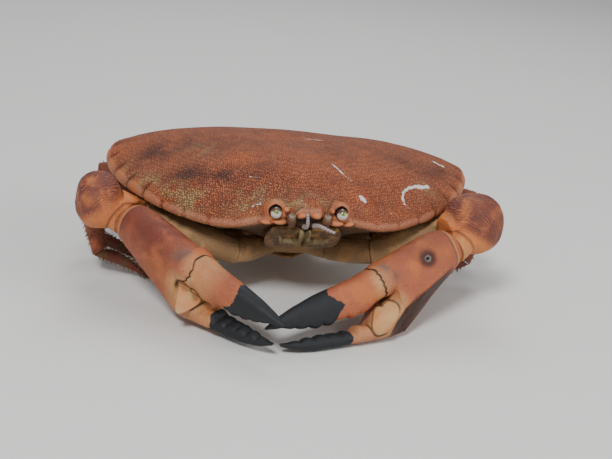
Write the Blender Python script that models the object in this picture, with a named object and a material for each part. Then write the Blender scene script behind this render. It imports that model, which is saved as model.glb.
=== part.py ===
"""Brown crab (Cancer pagurus) at life size, at rest with both claws folded in front.

Lengths are in millimetres until a mesh is made. The crab faces -Y, +X is its left side, and
the ground is at z = 0. Measured points are given in the crab's own frame, whose origin is
on the middle line at the level of the ground; the whole model is centred at the end.
"""

from math import atan2, copysign, cos, exp, pi, radians, sin, sqrt

import bmesh
import bpy
import numpy as np
from mathutils import Matrix

MM = 0.001
GAP = 0.3                    # clear space between touching pieces
JOIN = 0.01                  # corners nearer than this after a union become one

# Carapace
TIP_HEIGHT = 50.0            # the two side corners of the shell above the ground
DOME = 14.4                  # rise of the back above the side corners
DOME_SPREAD, DOME_FALL = 2.2, 0.62
SHELL_CENTRE = (0.0, -5.0)
# Half outline seen from above: front middle, round the left side, to the rear middle.
OUTLINE = [(0, -56.8), (9, -56.2), (18.5, -55), (30, -53.3), (45, -47), (60, -36.5), (72, -22),
           (79.3, -8), (82.0, 5), (80.0, 16), (72.5, 26), (59, 35), (45, 41.5), (30, 45.7),
           (15, 47.2), (0, 47.5)]
# The two sides of the back aren't quite alike: rise of the right rear edge, and fall of the
# left, for each mm outward and each mm square behind the start.
TWIST, TWIST_START = 1.8e-5, -20.0
# Edge height over the side corners, along the half outline: (share of its length, height).
EDGE_HEIGHT = [(0, -1.8), (0.04, -2.3), (0.085, -5.0), (0.14, -7.6), (0.19, -8.2), (0.27, -6.6),
               (0.36, -4.2), (0.45, -2.0), (0.53, 0.0), (0.6, -0.2), (0.75, -2.5), (1, -3.6)]
FRONT_SHARE, FRONT_STEPS = 0.088, 11     # the brow from the middle to past the eye
# Teeth of the brow and the hollows beside them: place outward, reach forward, half width.
FRONT_TEETH = [(0.0, 1.3, 1.2), (3.7, 1.9, 1.7), (7.6, -1.3, 1.6)]
LOBES, LOBES_END = 10, 0.615
LOBE_STEPS = (0.0, 0.13, 0.38, 0.62, 0.87)
NOTCH_FRONT, NOTCH_SIDE, NOTCH_WIDTH = 0.35, 2.0, 1.0
NOTCH_REACH = 0.07           # share of the way to the middle that a notch's groove runs
REAR_STEPS = 14
DORSAL_RINGS = (0.992, 0.974, 0.945, 0.89, 0.79)
INNER_RINGS = (0.65, 0.48, 0.3, 0.14)
EDGE_THICKNESS = 2.6
UNDER_RINGS, UNDER_INNER_RINGS = (0.16, 0.38), (0.6, 0.82, 1.0)
UNDER_X, UNDER_FRONT, UNDER_REAR, UNDER_Z = 36.0, -38.0, 40.0, 29.0
UNDER_SQUARE = 0.35          # how squarely the underside's front half is drawn
UNDER_BULGE = (0.9, 0.55)    # hollowness of the turned-in underside, and its gain to the sides
UNDER_INSET = 1.2            # how far the underside starts inside the edge
RIM_DROP = 0.9               # the outermost line of the shell under the back's edge
GROOVE_SHARE = 0.35          # depth of a notch's groove as a share of the notch
# Low swellings of the back: centre, reach along x and y, height.
SWELLINGS = [(0, -22, 17, 14, 1.0), (0, 18, 12, 11, 0.8), (34, -20, 15, 13, 0.7),
             (38, 14, 20, 15, 0.9)]

# Eyes
EYE = (13.6, -57.3, TIP_HEIGHT - 1.1)
EYE_RADIUS, SOCKET_RADIUS, ORBIT_RADIUS = 2.4, 3.0, 4.4
ORBIT_SHIFT = (0, 4.2, -0.4)  # the raised ring round the eye, from the eye
SOCKET_DEPTH = 4.4
STALK_RADIUS = 1.5

# Thorax with the first joint of each limb
THORAX_TOP, THORAX_DEPTH = UNDER_Z - GAP, 15.0
THORAX_CENTRE, THORAX_REACH = (0.0, 5.5), (30.0, 33.0)
THORAX_RINGS = [(0.0, 0.95), (0.2, 1.0), (0.55, 0.93), (0.85, 0.72), (1.0, 0.5)]
THORAX_SIDES = 28
CLAW_ROOT, CLAW_JOINT = (8.0, -10.0, 21.0), (16.5, -24.8, 21.5)
LEG_ROOT = (17.0, 20.5)
CLAW_STUB, LEG_STUB = (6.6, 6.8), (5.0, 4.2)     # reach up and sideways of a limb's first joint
STUB_START, STUB_END = 0.9, 0.78                 # its size at the body and at the joint
LEG_JOINT_RISE = 0.25                            # slope of a leg's first joint

# Abdomen folded under the body: (y, z, half width, half thickness), rear to front
ABDOMEN = [(44.5, 26.0, 15.0, 1.8), (46.0, 19.0, 18.0, 1.9), (40.0, 12.9, 19.5, 1.9),
           (28.0, 11.2, 20.0, 1.8), (14.0, 11.0, 18.0, 1.8), (2.0, 11.2, 13.0, 1.7),
           (-8.0, 11.6, 6.5, 1.4), (-13.0, 12.0, 2.0, 1.0)]
ABDOMEN_SEGMENTS, ABDOMEN_SIDES = 6, 14

# Walking legs, front to rear: joint on the thorax, heading of the thigh and of the rest, size
LEGS = [((37.0, -13.5, 21.5), 4, 10, 0.98), ((39.0, 0.5, 21.0), 14, 21, 1.03),
        ((38.0, 14.5, 21.0), 27, 35, 1.0), ((34.0, 27.5, 21.5), 44, 54, 0.88)]
# Slope in degrees and length of each leg piece; the dactyl points inward and its slope is the
# one that brings its tip to the ground.
LEG_PIECES = [("merus", 21, 39), ("carpus", -4, 16), ("propodus", -100, 24), ("dactyl", 180, 26)]
LEG_HEIGHT = {"merus": 6.3, "carpus": 5.2, "propodus": 4.5, "dactyl": 3.4}
LEG_WIDTH = {"merus": 3.7, "carpus": 3.6, "propodus": 3.2, "dactyl": 2.7}
LEG_SHAPE = {
    "merus": [(0, 0.72), (0.15, 0.92), (0.5, 1.0), (0.85, 0.92), (1, 0.74)],
    "carpus": [(0, 0.78), (0.3, 1.0), (0.6, 0.96), (1, 0.72)],
    "propodus": [(0, 0.74), (0.32, 1.0), (0.72, 0.94), (1, 0.74)],
    "dactyl": [(0, 0.86), (0.25, 0.9), (0.6, 0.62), (0.9, 0.3), (1, 0.2)],
}
LEG_SIDES = 12
FOOT_FLAT = 0.3
TOE_BEND = 2.0               # rise of a toe's middle over the line from its joint to its tip

# Claws, keyed by side: 1 is the crab's left.
CLAW_SIDES = 16
CLAW_ROUND = 0.87            # under 1 makes a claw's section more like a block
# Each section of the arm is its centre, then its reach up, down, outward and inward.
CLAW_MERUS = {
    1: [(33.3, -33.5, 24.0, 6, 6, 5.5, 5.5), (44, -35.5, 27.3, 7, 7, 6.6, 6.5),
        (56, -34.0, 32.0, 7.2, 7.5, 6.6, 6.5), (65.5, -31.6, 35.4, 6, 6.6, 6, 6)],
    -1: [(-27.0, -33.0, 22.8, 5.6, 6, 5.5, 5.5), (-38, -33.4, 26.6, 6.6, 7, 6.6, 6.5),
         (-52, -28.6, 30.4, 6.8, 7.2, 7, 6.5), (-65.5, -24.6, 34.4, 5.4, 6.2, 6, 6)],
}
WRIST_FACING = (0.74, -0.58, 0.3)        # which way the arm's end faces, on the left
ARM_OVERRUN = 8.0            # length that the slanting cut at the arm's end takes off
ARM_FORWARD = (0.3, -1.0, 0.2)           # which way an arm's front edge faces, on the left
# Reach up, down, outward and inward of the arm's short first piece: start, middle, end.
ISCHIUM = [(5.2, 5.2, 5.2, 5.2), (5.8, 6.2, 5.8, 5.8), (5.4, 5.6, 5.2, 5.2)]
ISCHIUM_MIDDLE = 0.45
NECK_RADIUS, NECK_FLARE = 6.1, 1.2       # a wrist's two necks, and how much wider they start
NECK_STEP = 0.8                          # how far the necks stand out of the wrist
NECK_REACH = 0.6                         # how far they run in towards the wrist's middle
WRIST_BLUNT = 0.86
# Rounded blocks that make up each wrist: centre, reach along x, y and z.
CLAW_CARPUS = {1: [((75.2, -39.4, 40.6), (13.6, 11.2, 13.4)), ((67.0, -41.6, 38.6), (8.6, 6.6, 8.4))],
               -1: [((-84.6, -28.2, 42.0), (9.8, 10.2, 12.2)), ((-77.8, -29.4, 37.0), (6.4, 6.0, 6.4))]}
# Place of a claw: middle of the wrist, direction of the fingers, direction of its upper edge,
# size, how much longer its palm and its fingers are than the plan below, and how much wider
# its fingers gape.
CLAW_PLACE = {
    1: ((65.6, -48.3, 31.5), (-0.849, -0.424, -0.297), (-0.40, 0.20, 0.89), 0.976, 1.11, 1.0, 0.0),
    -1: ((-73.2, -31.8, 33.8), (0.66, -0.694, -0.272), (0.083, -0.327, 0.941), 0.97, 1.19, 0.885, 3.6),
}
# Plan of a claw from its wrist, along the length: (length, upper edge, lower edge, half width).
HINGE = 34.5
PALM = [(0, 7.4, -5.0, 5.8), (2.5, 11.4, -7.0, 7.6), (8, 12.8, -9.0, 8.8), (18, 12.6, -13.6, 9.4),
        (27, 12.3, -18.2, 9.8), (HINGE, 11.8, -21.3, 9.6), (HINGE, -3.4, -20.9, 9.2),
        (39, -3.2, -20.6, 9.0), (43, -4.0, -19.6, 8.4), (47, -5.8, -18.4, 7.6)]
FIXED_FINGER = [(50.5, -9.8, -17.4, 6.4), (59, -9.6, -14.6, 5.3), (68, -6.2, -12, 4.5),
                (76, -3.8, -9.4, 3.5), (84, -1.6, -5.2, 2.2), (89.5, 0.6, -0.6, 0.7)]
DACTYL = [(HINGE, 11.4, -2.9, 8.4), (39, 11.0, -2.8, 8.4), (44, 10.8, -3.2, 8.0), (48.5, 10.9, -5.4, 7.2)]
DACTYL_FINGER = [(53, 11.1, -4.4, 6.4), (58.6, 11.4, -1.6, 5.8), (68, 12.0, -1.2, 4.9),
                 (78, 11.7, 2.4, 3.8), (86.6, 10.7, 6.3, 2.4), (92.8, 9.4, 8.4, 0.7)]
TEETH, TOOTH_HEIGHT = 5, 1.0
GROUND, DOWN = (0, 0, 0), (0, 0, -1)

# Mouthparts and feelers, given for the crab's left
MAXILLIPED = [((8.2, -53.2, 41.0), 5.4, 1.0), ((8.5, -50.6, 38.5), 7.2, 1.3),
              ((8.6, -46.4, 34.4), 7.6, 1.4), ((8.5, -42.0, 30.4), 7.3, 1.4),
              ((8.2, -37.4, 27.2), 6.2, 1.3), ((7.8, -33.2, 26.6), 4.4, 1.1)]
ANTENNA_BASE = [((6.9, -57.6, 44.2), 1.6), ((7.3, -58.9, 46.6), 2.2), ((7.4, -59.9, 49.0), 1.4)]
FEELER = {1: [(7.4, -59.9, 48.7), (7.2, -60.6, 51.2), (7.7, -60.4, 54.0), (9.4, -59.8, 56.6)],
          -1: [(-7.4, -59.9, 48.7), (-6.4, -60.6, 50.6), (-4.9, -60.7, 52.0), (-3.2, -60.4, 52.8)]}
FEELER_RADIUS = (0.6, 0.35)
ANTENNULE = {1: [(2.4, -56.6, 43.4), (4.0, -59.6, 44.6), (7.0, -61.8, 43.9), (10.4, -62.2, 42.6)],
             -1: [(-1.6, -56.6, 43.0), (-1.0, -59.4, 43.6), (-0.9, -61.0, 46.6), (-1.3, -61.2, 50.0)]}
ANTENNULE_RADIUS = (1.1, 0.6)

COLOURS = {
    "shell": (0.42, 0.15, 0.09), "limb": (0.5, 0.2, 0.11), "under": (0.62, 0.5, 0.36),
    "finger": (0.02, 0.02, 0.025), "eye": (0.3, 0.33, 0.3), "feeler": (0.35, 0.16, 0.12),
}


def unit(v):
    return v / np.linalg.norm(v)


def on_side(point, side):
    """A point given for the crab's left, moved to the asked side."""
    return np.array([point[0] * side, *point[1:]], float)


def along(keys, shares):
    """The keys' values at shares (0 to 1) of the smooth curve through their first 3 columns."""
    keys = np.asarray(keys, float)
    steps = np.linalg.norm(np.diff(keys[:, :3], axis=0), axis=1)
    knots = np.concatenate([[0], np.cumsum(steps)]) / steps.sum()
    slopes = np.gradient(keys, knots, axis=0)
    shares = np.atleast_1d(shares)
    i = np.clip(np.searchsorted(knots, shares, side="right") - 1, 0, len(knots) - 2)
    h = (knots[i + 1] - knots[i])[:, None]
    u = (shares - knots[i])[:, None] / h
    return ((2 * u**3 - 3 * u**2 + 1) * keys[i] + (u**3 - 2 * u**2 + u) * h * slopes[i]
            + (-2 * u**3 + 3 * u**2) * keys[i + 1] + (u**3 - u**2) * h * slopes[i + 1])


def material(kind):
    name = f"{kind}_colour"
    made = bpy.data.materials.get(name)
    if made is None:
        made = bpy.data.materials.new(name)
        made.use_nodes = True
        shader = made.node_tree.nodes["Principled BSDF"]
        shader.inputs["Base Color"].default_value = (*COLOURS[kind], 1.0)
        shader.inputs["Roughness"].default_value = 0.2 if kind == "eye" else 0.5
        shader.inputs["Metallic"].default_value = 0.0
    return made


def to_object(name, bm, kind):
    """An object from a bmesh in millimetres, with its own material."""
    bmesh.ops.recalc_face_normals(bm, faces=bm.faces)
    mesh = bpy.data.meshes.new(name)
    bm.to_mesh(mesh)
    bm.free()
    mesh.transform(Matrix.Scale(MM, 4))
    mesh.shade_smooth()
    mesh.set_sharp_from_angle(angle=radians(50))
    mesh.materials.append(material(kind))
    made = bpy.data.objects.new(name, mesh)
    bpy.context.scene.collection.objects.link(made)
    return made


def bridge(bm, ring, following):
    """Faces between two rings, where the second may have half as many points as the first."""
    count = len(ring)
    ratio = count // len(following)
    for i in range(len(following)):
        j = (i + 1) % len(following)
        a, b = ring[i * ratio], ring[(i * ratio + 1) % count]
        if ratio == 1:
            bm.faces.new((a, b, following[j], following[i]))
            continue
        c = ring[(i * ratio + 2) % count]
        bm.faces.new((a, b, following[i]))
        bm.faces.new((b, following[j], following[i]))
        bm.faces.new((b, c, following[j]))


def skin_over(rings, pole=None):
    """A closed bmesh through rings of points, capped flat or, at the end, drawn to a pole."""
    bm = bmesh.new()
    made = [[bm.verts.new(p) for p in ring] for ring in rings]
    for ring, following in zip(made, made[1:]):
        bridge(bm, ring, following)
    bm.faces.new(made[0])
    if pole is None:
        bm.faces.new(made[-1])
    else:
        tip = bm.verts.new(pole)
        for i, point in enumerate(made[-1]):
            bm.faces.new((point, made[-1][(i + 1) % len(made[-1])], tip))
    return bm


def rings_along(sections, width_axis, sides, start=None, end=None, power=2.3):
    """Rings square to the path of the sections (centre, up, down, out, in); the first and last
    lie in the joint planes whose normals are start and end."""
    sections = np.asarray(sections, float)
    centres = sections[:, :3]
    tangents = np.gradient(centres, axis=0)
    if start is not None:
        tangents[0] = start
    if end is not None:
        tangents[-1] = end
    middle = tangents[len(tangents) // 2]
    upright = 1 if np.cross(width_axis, middle)[2] >= 0 else -1
    rings = []
    for centre, tangent, (up, down, out, inn) in zip(centres, tangents, sections[:, 3:7]):
        tangent = unit(tangent)
        wide = unit(width_axis - np.dot(width_axis, tangent) * tangent)
        high = np.cross(wide, tangent) * upright
        ring = []
        for k in range(sides):
            angle = 2 * pi * (k + 0.5) / sides
            c, s = cos(angle), sin(angle)
            x = abs(c) ** (2 / power) * (out if c > 0 else -inn)
            z = abs(s) ** (2 / power) * (up if s > 0 else -down)
            ring.append(centre + wide * x + high * z)
        rings.append(ring)
    return rings


def ball(centre, radii, rows=8, columns=12, blunt=1.0):
    """A round or drawn-out ball as a bmesh; blunt under 1 makes it more like a block."""
    bm = bmesh.new()
    bmesh.ops.create_uvsphere(bm, u_segments=columns, v_segments=rows, radius=1.0)
    for vert in bm.verts:
        vert.co = [c + copysign(abs(p) ** blunt, p) * r for c, p, r in zip(centre, vert.co, radii)]
    return bm


def cut_flat(bm, point, normal):
    """Takes away what lies beyond a plane and closes the cut."""
    geometry = list(bm.verts) + list(bm.edges) + list(bm.faces)
    cut = bmesh.ops.bisect_plane(bm, geom=geometry, plane_co=point, plane_no=normal, clear_outer=True)
    edges = [e for e in cut["geom_cut"] if isinstance(e, bmesh.types.BMEdge)]
    if edges:
        bmesh.ops.holes_fill(bm, edges=edges)


def fused(name, pieces, kind, cutters=()):
    """One body from a list of closed bmeshes, less the cutters."""
    body = to_object(name, pieces[0], kind)
    for operation, others in (("UNION", pieces[1:]), ("DIFFERENCE", cutters)):
        if not others:
            continue
        group = bpy.data.collections.new(f"{name}_{operation.lower()}")
        bpy.context.scene.collection.children.link(group)
        for i, other in enumerate(others):
            helper = to_object(f"{name}_piece_{i}", other, kind)
            bpy.context.scene.collection.objects.unlink(helper)
            group.objects.link(helper)
        modifier = body.modifiers.new(operation.title(), "BOOLEAN")
        modifier.operation = operation
        modifier.operand_type = "COLLECTION"
        modifier.collection = group
        modifier.solver = "MANIFOLD"
        with bpy.context.temp_override(object=body, active_object=body):
            bpy.ops.object.modifier_apply(modifier=modifier.name)
        for helper in list(group.objects):
            bpy.data.objects.remove(helper, do_unlink=True)
        bpy.data.collections.remove(group)
    bm = bmesh.new()
    bm.from_mesh(body.data)
    bmesh.ops.remove_doubles(bm, verts=bm.verts, dist=JOIN * MM)
    bmesh.ops.dissolve_degenerate(bm, edges=bm.edges, dist=JOIN * MM)
    bmesh.ops.triangulate(bm, faces=bm.faces)
    bm.to_mesh(body.data)
    bm.free()
    return body


def half_outline(steps=600):
    """Dense points of the half outline, in order, and the share of its length at each."""
    points = along([(x, y, 0) for x, y in OUTLINE], np.linspace(0, 1, steps))[:, :2]
    run = np.concatenate([[0], np.cumsum(np.linalg.norm(np.diff(points, axis=0), axis=1))])
    return points, run / run[-1], run[-1]


def outline_shares():
    """Where along the half outline the shell has a point: brow, lobes, rear."""
    lobe = (LOBES_END - FRONT_SHARE) / LOBES
    front = [FRONT_SHARE * i / FRONT_STEPS for i in range(FRONT_STEPS)]
    lobes = [FRONT_SHARE + lobe * (n + step) for n in range(LOBES) for step in LOBE_STEPS]
    rear = [LOBES_END + (1 - LOBES_END) * i / REAR_STEPS for i in range(REAR_STEPS + 1)]
    return front + lobes + rear


def notch_depth(share, length):
    """How far the notches between the lobes cut into the edge at a share of the outline."""
    lobe = (LOBES_END - FRONT_SHARE) / LOBES
    depth = 0.0
    for n in range(LOBES + 1):
        away = (share - FRONT_SHARE - n * lobe) * length
        grown = NOTCH_FRONT + (NOTCH_SIDE - NOTCH_FRONT) * (n / LOBES) ** 1.5
        depth += grown * exp(-(away / NOTCH_WIDTH) ** 2)
    return depth


def back_height(x, y, reach, edge):
    """Height of the back, where reach is 0 in the middle and 1 at the edge."""
    height = TIP_HEIGHT + edge * reach**2 + DOME * (1 - reach**DOME_SPREAD) ** DOME_FALL
    for cx, cy, rx, ry, rise in SWELLINGS:
        height += rise * exp(-((abs(x) - cx) / rx) ** 2 - ((y - cy) / ry) ** 2)
    return height


def shell_column(share, length, points, run):
    """One column of the shell at a share of the half outline: edge point, edge height, notch
    depth and the direction inward."""
    x, y = (np.interp(share, run, points[:, k]) for k in (0, 1))
    inward = unit(np.array([SHELL_CENTRE[0] - x, SHELL_CENTRE[1] - y]))
    edge = np.interp(share, *zip(*EDGE_HEIGHT))
    cut = notch_depth(share, length) if share > FRONT_SHARE / 2 else 0.0
    if y < 0:
        cut -= sum(reach * exp(-((x - at) / width) ** 2) for at, reach, width in FRONT_TEETH)
    return np.array([x, y]), edge, cut, inward


def twist(point):
    """How far the two sides of the edge differ in height from their mean."""
    return TWIST * point[0] * max(point[1] - TWIST_START, 0.0) ** 2


def carapace():
    """The shell: domed back, lobed edge and the turned-in underside, in one closed body."""
    points, run, length = half_outline()
    half = [shell_column(share, length, points, run) for share in outline_shares()]
    mirror = np.array([-1, 1])
    whole = [(p, e - twist(p), c, i) for p, e, c, i in half]
    whole += [(p * mirror, e + twist(p), c, i * mirror) for p, e, c, i in reversed(half[1:-1])]
    middle = np.array(SHELL_CENTRE)

    def back_ring(reach, columns):
        ring = []
        fade = max(0.0, 1 - (1 - reach) / NOTCH_REACH)
        for point, edge, cut, inward in columns:
            x, y = middle + (point - middle) * reach + inward * cut * fade
            groove = max(cut, 0.0) * GROOVE_SHARE * fade
            ring.append((x, y, back_height(x, y, reach, edge) - groove))
        return ring

    def under_ring(depth, columns):
        ring = []
        for point, edge, cut, inward in columns:
            around = atan2(point[1] - middle[1], point[0])
            reach_y = UNDER_FRONT - middle[1] if around < 0 else UNDER_REAR - middle[1]
            narrow = UNDER_SQUARE if around < 0 else 0.0
            inner = middle + np.array([UNDER_X * cos(around) * abs(cos(around)) ** narrow,
                                       abs(reach_y) * sin(around) * abs(sin(around)) ** narrow])
            bulge = UNDER_BULGE[0] + UNDER_BULGE[1] * abs(cos(around))
            inset = inward * (UNDER_INSET + max(cut, 0.0)) * (1 - depth)
            x, y = point + inset + (inner - point) * depth
            top = TIP_HEIGHT + edge - EDGE_THICKNESS
            ring.append((x, y, top + (UNDER_Z - top) * depth**bulge))
        return ring

    rim = [(*(p + i * c), TIP_HEIGHT + e - RIM_DROP) for p, e, c, i in whole]
    every_other = whole[::2]
    rings = [under_ring(d, every_other) for d in reversed(UNDER_INNER_RINGS)]
    lower = [under_ring(d, whole) for d in reversed(UNDER_RINGS)] + [under_ring(0.0, whole), rim]
    upper = [back_ring(r, whole) for r in DORSAL_RINGS]
    inner = [back_ring(r, every_other) for r in INNER_RINGS]
    bm = bmesh.new()
    made = [[bm.verts.new(p) for p in ring] for ring in rings + lower + upper + inner]
    for ring, following in zip(made, made[1:]):
        if len(following) > len(ring):
            bridge(bm, following, ring)
        else:
            bridge(bm, ring, following)
    bm.faces.new(made[0])
    top = bm.verts.new((*SHELL_CENTRE, back_height(*SHELL_CENTRE, 0.0, 0.0)))
    for i, point in enumerate(made[-1]):
        bm.faces.new((point, made[-1][(i + 1) % len(made[-1])], top))
    pieces = [bm]
    cutters = []
    for side in (1, -1):
        eye = on_side(EYE, side)
        pieces.append(ball(eye + ORBIT_SHIFT, (ORBIT_RADIUS,) * 3, 10, 16))
        cutters.append(socket(eye))
    return fused("carapace", pieces, "shell", cutters)


def round_bar(points, radii, sides):
    """A closed bmesh along points, with the radius at each."""
    sections = [(*p, r, r, r, r) for p, r in zip(points, radii)]
    return skin_over(rings_along(sections, np.array([1.0, 0, 0]), sides, power=2.0))


def socket(eye):
    """The hollow that holds an eye, as a round-ended bar running back from it."""
    reach = np.array([0, 1.0, 0])
    marks = [(-6, 1.0), (0, 1.0), (SOCKET_DEPTH - 1.2, 0.96), (SOCKET_DEPTH, 0.7)]
    return round_bar([eye + reach * at for at, _ in marks], [SOCKET_RADIUS * r for _, r in marks], 16)


def eyes():
    for side, name in ((1, "left"), (-1, "right")):
        eye = on_side(EYE, side)
        to_object(f"eye_{name}", ball(eye, (EYE_RADIUS,) * 3, 10, 14), "eye")
        start = eye + (0, EYE_RADIUS + GAP, 0)
        finish = eye + (0, SOCKET_DEPTH - GAP, 0)
        radii = [STALK_RADIUS * 0.8, STALK_RADIUS]
        to_object(f"eyestalk_{name}", round_bar([start, finish], radii, 12), "shell")


def thorax():
    """The breastplate under the shell, with the first joint of every limb fused to it."""
    rings = []
    for share, scale in THORAX_RINGS:
        z = THORAX_TOP - THORAX_DEPTH * share
        rings.append([(THORAX_CENTRE[0] + THORAX_REACH[0] * scale * cos(a),
                       THORAX_CENTRE[1] + THORAX_REACH[1] * scale * sin(a), z)
                      for a in (2 * pi * k / THORAX_SIDES for k in range(THORAX_SIDES))])
    pieces = [skin_over(rings)]
    for side in (1, -1):
        root, joint = on_side(CLAW_ROOT, side), on_side(CLAW_JOINT, side)
        heading = unit(np.array(CLAW_MERUS[side][0][:3]) - joint) + unit(joint - root)
        pieces.append(stub(root, joint, *CLAW_STUB, heading))
        for (joint, heading, _, size) in LEGS:
            joint = on_side(joint, side)
            root = np.array([LEG_ROOT[0] * side, joint[1] - 2.0, LEG_ROOT[1]])
            turn = radians(heading)
            out = np.array([cos(turn) * side, sin(turn), LEG_JOINT_RISE])
            pieces.append(stub(root, joint, *(reach * size for reach in LEG_STUB), out))
    return fused("thorax", pieces, "under")


def stub(root, joint, height, width, normal):
    """The first joint of a limb, from inside the body to half a gap short of the joint plane."""
    end = joint - unit(normal) * GAP / 2
    middle = (root + end) / 2
    sections = [(*at, height * scale, height * scale, width * scale, width * scale)
                for at, scale in ((root, STUB_START), (middle, 1.0), (end, STUB_END))]
    axis = np.array([0, 1.0, 0]) if abs(normal[0]) > abs(normal[1]) else np.array([1.0, 0, 0])
    return skin_over(rings_along(sections, axis, LEG_SIDES, end=normal, power=2.0))


def abdomen():
    """The broad folded tail of a female, a curved plate with a step at each segment."""
    shares = np.linspace(0, 1, ABDOMEN_SEGMENTS * 2 + 1)
    keys = [(0.0, y, z, w, t) for y, z, w, t in ABDOMEN]
    sections = []
    for i, (_, y, z, wide, thick) in enumerate(along(keys, shares)):
        step = (0.86, 1.08)[i % 2]
        sections.append((0.0, y, z, thick * step, thick * step, wide, wide))
    rings = rings_along(sections, np.array([1.0, 0, 0]), ABDOMEN_SIDES, power=2.6)
    return to_object("abdomen", skin_over(rings), "under")


def leg(number, side, name):
    """A walking leg in four pieces, folded so that its tip stands on the ground."""
    base, thigh_heading, shank_heading, size = LEGS[number]
    at = on_side(base, side)
    joints, directions = [at], []
    for piece, slope, length in LEG_PIECES:
        turn = radians(thigh_heading if piece == "merus" else shank_heading)
        rise = sin(radians(slope)) if piece != "dactyl" else (FOOT_FLAT - at[2]) / (length * size)
        level = copysign(sqrt(1 - rise**2), cos(radians(slope)))
        directions.append(np.array([level * cos(turn) * side, level * sin(turn), rise]))
        at = at + directions[-1] * length * size
        joints.append(at)
    wide = np.array([-sin(turn) * side, cos(turn), 0.0])
    for i, (piece, _, _) in enumerate(LEG_PIECES):
        before = directions[i - 1] if i else np.array([cos(radians(thigh_heading)) * side,
                                                       sin(radians(thigh_heading)), LEG_JOINT_RISE])
        after = directions[i + 1] if i < 3 else directions[i]
        start = unit(unit(before) + directions[i]) if i else unit(before)
        end = unit(directions[i] + after)
        sections = []
        first = joints[i] + start * GAP / 2
        last = joints[i + 1] - (end * GAP / 2 if i < 3 else 0)
        for share, scale in LEG_SHAPE[piece]:
            high = LEG_HEIGHT[piece] * size * scale
            broad = LEG_WIDTH[piece] * size * scale
            bend = TOE_BEND * sin(pi * share) if piece == "dactyl" else 0.0
            centre = first + (last - first) * share + np.array([0, 0, bend])
            sections.append((*centre, high, high, broad, broad))
        rings = rings_along(sections, wide, LEG_SIDES, start=start, end=end)
        bm = skin_over(rings)
        if piece == "dactyl":
            cut_flat(bm, GROUND, DOWN)
        to_object(f"{name}_{piece}", bm, "limb")


def claw_rings(side, plan):
    """Rings of a claw's plan, set in place on its side."""
    wrist, fingers, upper, size, palm_length, finger_length, _ = CLAW_PLACE[side]
    wrist, fingers, upper = np.array(wrist), unit(np.array(fingers)), np.array(upper)
    upper = unit(upper - np.dot(upper, fingers) * fingers)
    wide = np.cross(fingers, upper)
    rings = []
    for length, top, bottom, half in plan:
        stretched = min(length, HINGE) * palm_length + max(length - HINGE, 0) * finger_length
        middle, height = (top + bottom) / 2, (top - bottom) / 2
        ring = []
        for k in range(CLAW_SIDES):
            c, s = (f(2 * pi * (k + 0.5) / CLAW_SIDES) for f in (cos, sin))
            v = middle + height * copysign(abs(s) ** CLAW_ROUND, s)
            w = half * copysign(abs(c) ** CLAW_ROUND, c)
            ring.append(wrist + size * (fingers * stretched + upper * v + wide * w))
        rings.append(ring)
    return rings


def toothed(plan, biting):
    """A finger's plan resampled with a row of blunt teeth; biting is the column of the edge."""
    steps = TEETH * 3
    lengths = np.linspace(plan[0][0], plan[-1][0], steps + 1)
    columns = [np.interp(lengths, [row[0] for row in plan], [row[i] for row in plan]) for i in (1, 2, 3)]
    rows = np.array([lengths, *columns]).T
    for i, row in enumerate(rows):
        row[biting] += TOOTH_HEIGHT * (i % 3 != 0) * (1 - i / steps) * (1 if biting == 1 else -1)
    return [tuple(row) for row in rows]


def shifted(plan, by):
    return [(row[0] + by, *row[1:]) for row in plan]


def claw(side, name):
    joint, root = on_side(CLAW_JOINT, side), on_side(CLAW_ROOT, side)
    merus = np.array(CLAW_MERUS[side], float)
    heading = unit(merus[0, :3] - joint)
    start = unit(heading + unit(joint - root))
    across = unit(heading + unit(merus[1, :3] - merus[0, :3]))
    a, b = joint + start * GAP / 2, merus[0, :3] - across * GAP / 2
    ischium = [(*at, *reach) for at, reach in zip((a, a + (b - a) * ISCHIUM_MIDDLE, b), ISCHIUM)]
    forward = on_side(ARM_FORWARD, side)
    rings = rings_along(ischium, forward, CLAW_SIDES, start=start, end=across)
    to_object(f"claw_{name}_ischium", skin_over(rings), "under")

    sections = along(merus, np.linspace(0, 1, 8))
    sections[0, :3] += across * GAP / 2
    beyond = sections[-1].copy()
    beyond[:3] += unit(sections[-1, :3] - sections[-2, :3]) * ARM_OVERRUN
    rings = rings_along(np.vstack([sections, beyond]), forward, CLAW_SIDES, start=across)
    arm = skin_over(rings)
    out = unit(on_side(WRIST_FACING, side))
    cut_flat(arm, merus[-1, :3] - out * GAP / 2, out)
    to_object(f"claw_{name}_merus", arm, "under")

    wrist, fingers = (np.array(v) for v in CLAW_PLACE[side][:2])
    carpus(side, name, merus[-1, :3], out, wrist, unit(fingers))
    gape = CLAW_PLACE[side][-1] / (FIXED_FINGER[-1][0] - PALM[-1][0])
    lowered = [(u, top - gape * (u - PALM[-1][0]), bottom - gape * (u - PALM[-1][0]), half)
               for u, top, bottom, half in FIXED_FINGER]
    palm = skin_over(claw_rings(side, shifted(PALM, GAP / 2) + toothed(lowered, 1)))
    cut_flat(palm, GROUND, DOWN)
    to_object(f"claw_{name}_propodus", palm, "limb")
    dactyl = claw_rings(side, shifted(DACTYL, GAP * 1.6) + toothed(DACTYL_FINGER, 2))
    to_object(f"claw_{name}_dactyl", skin_over(dactyl), "finger")


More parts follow.
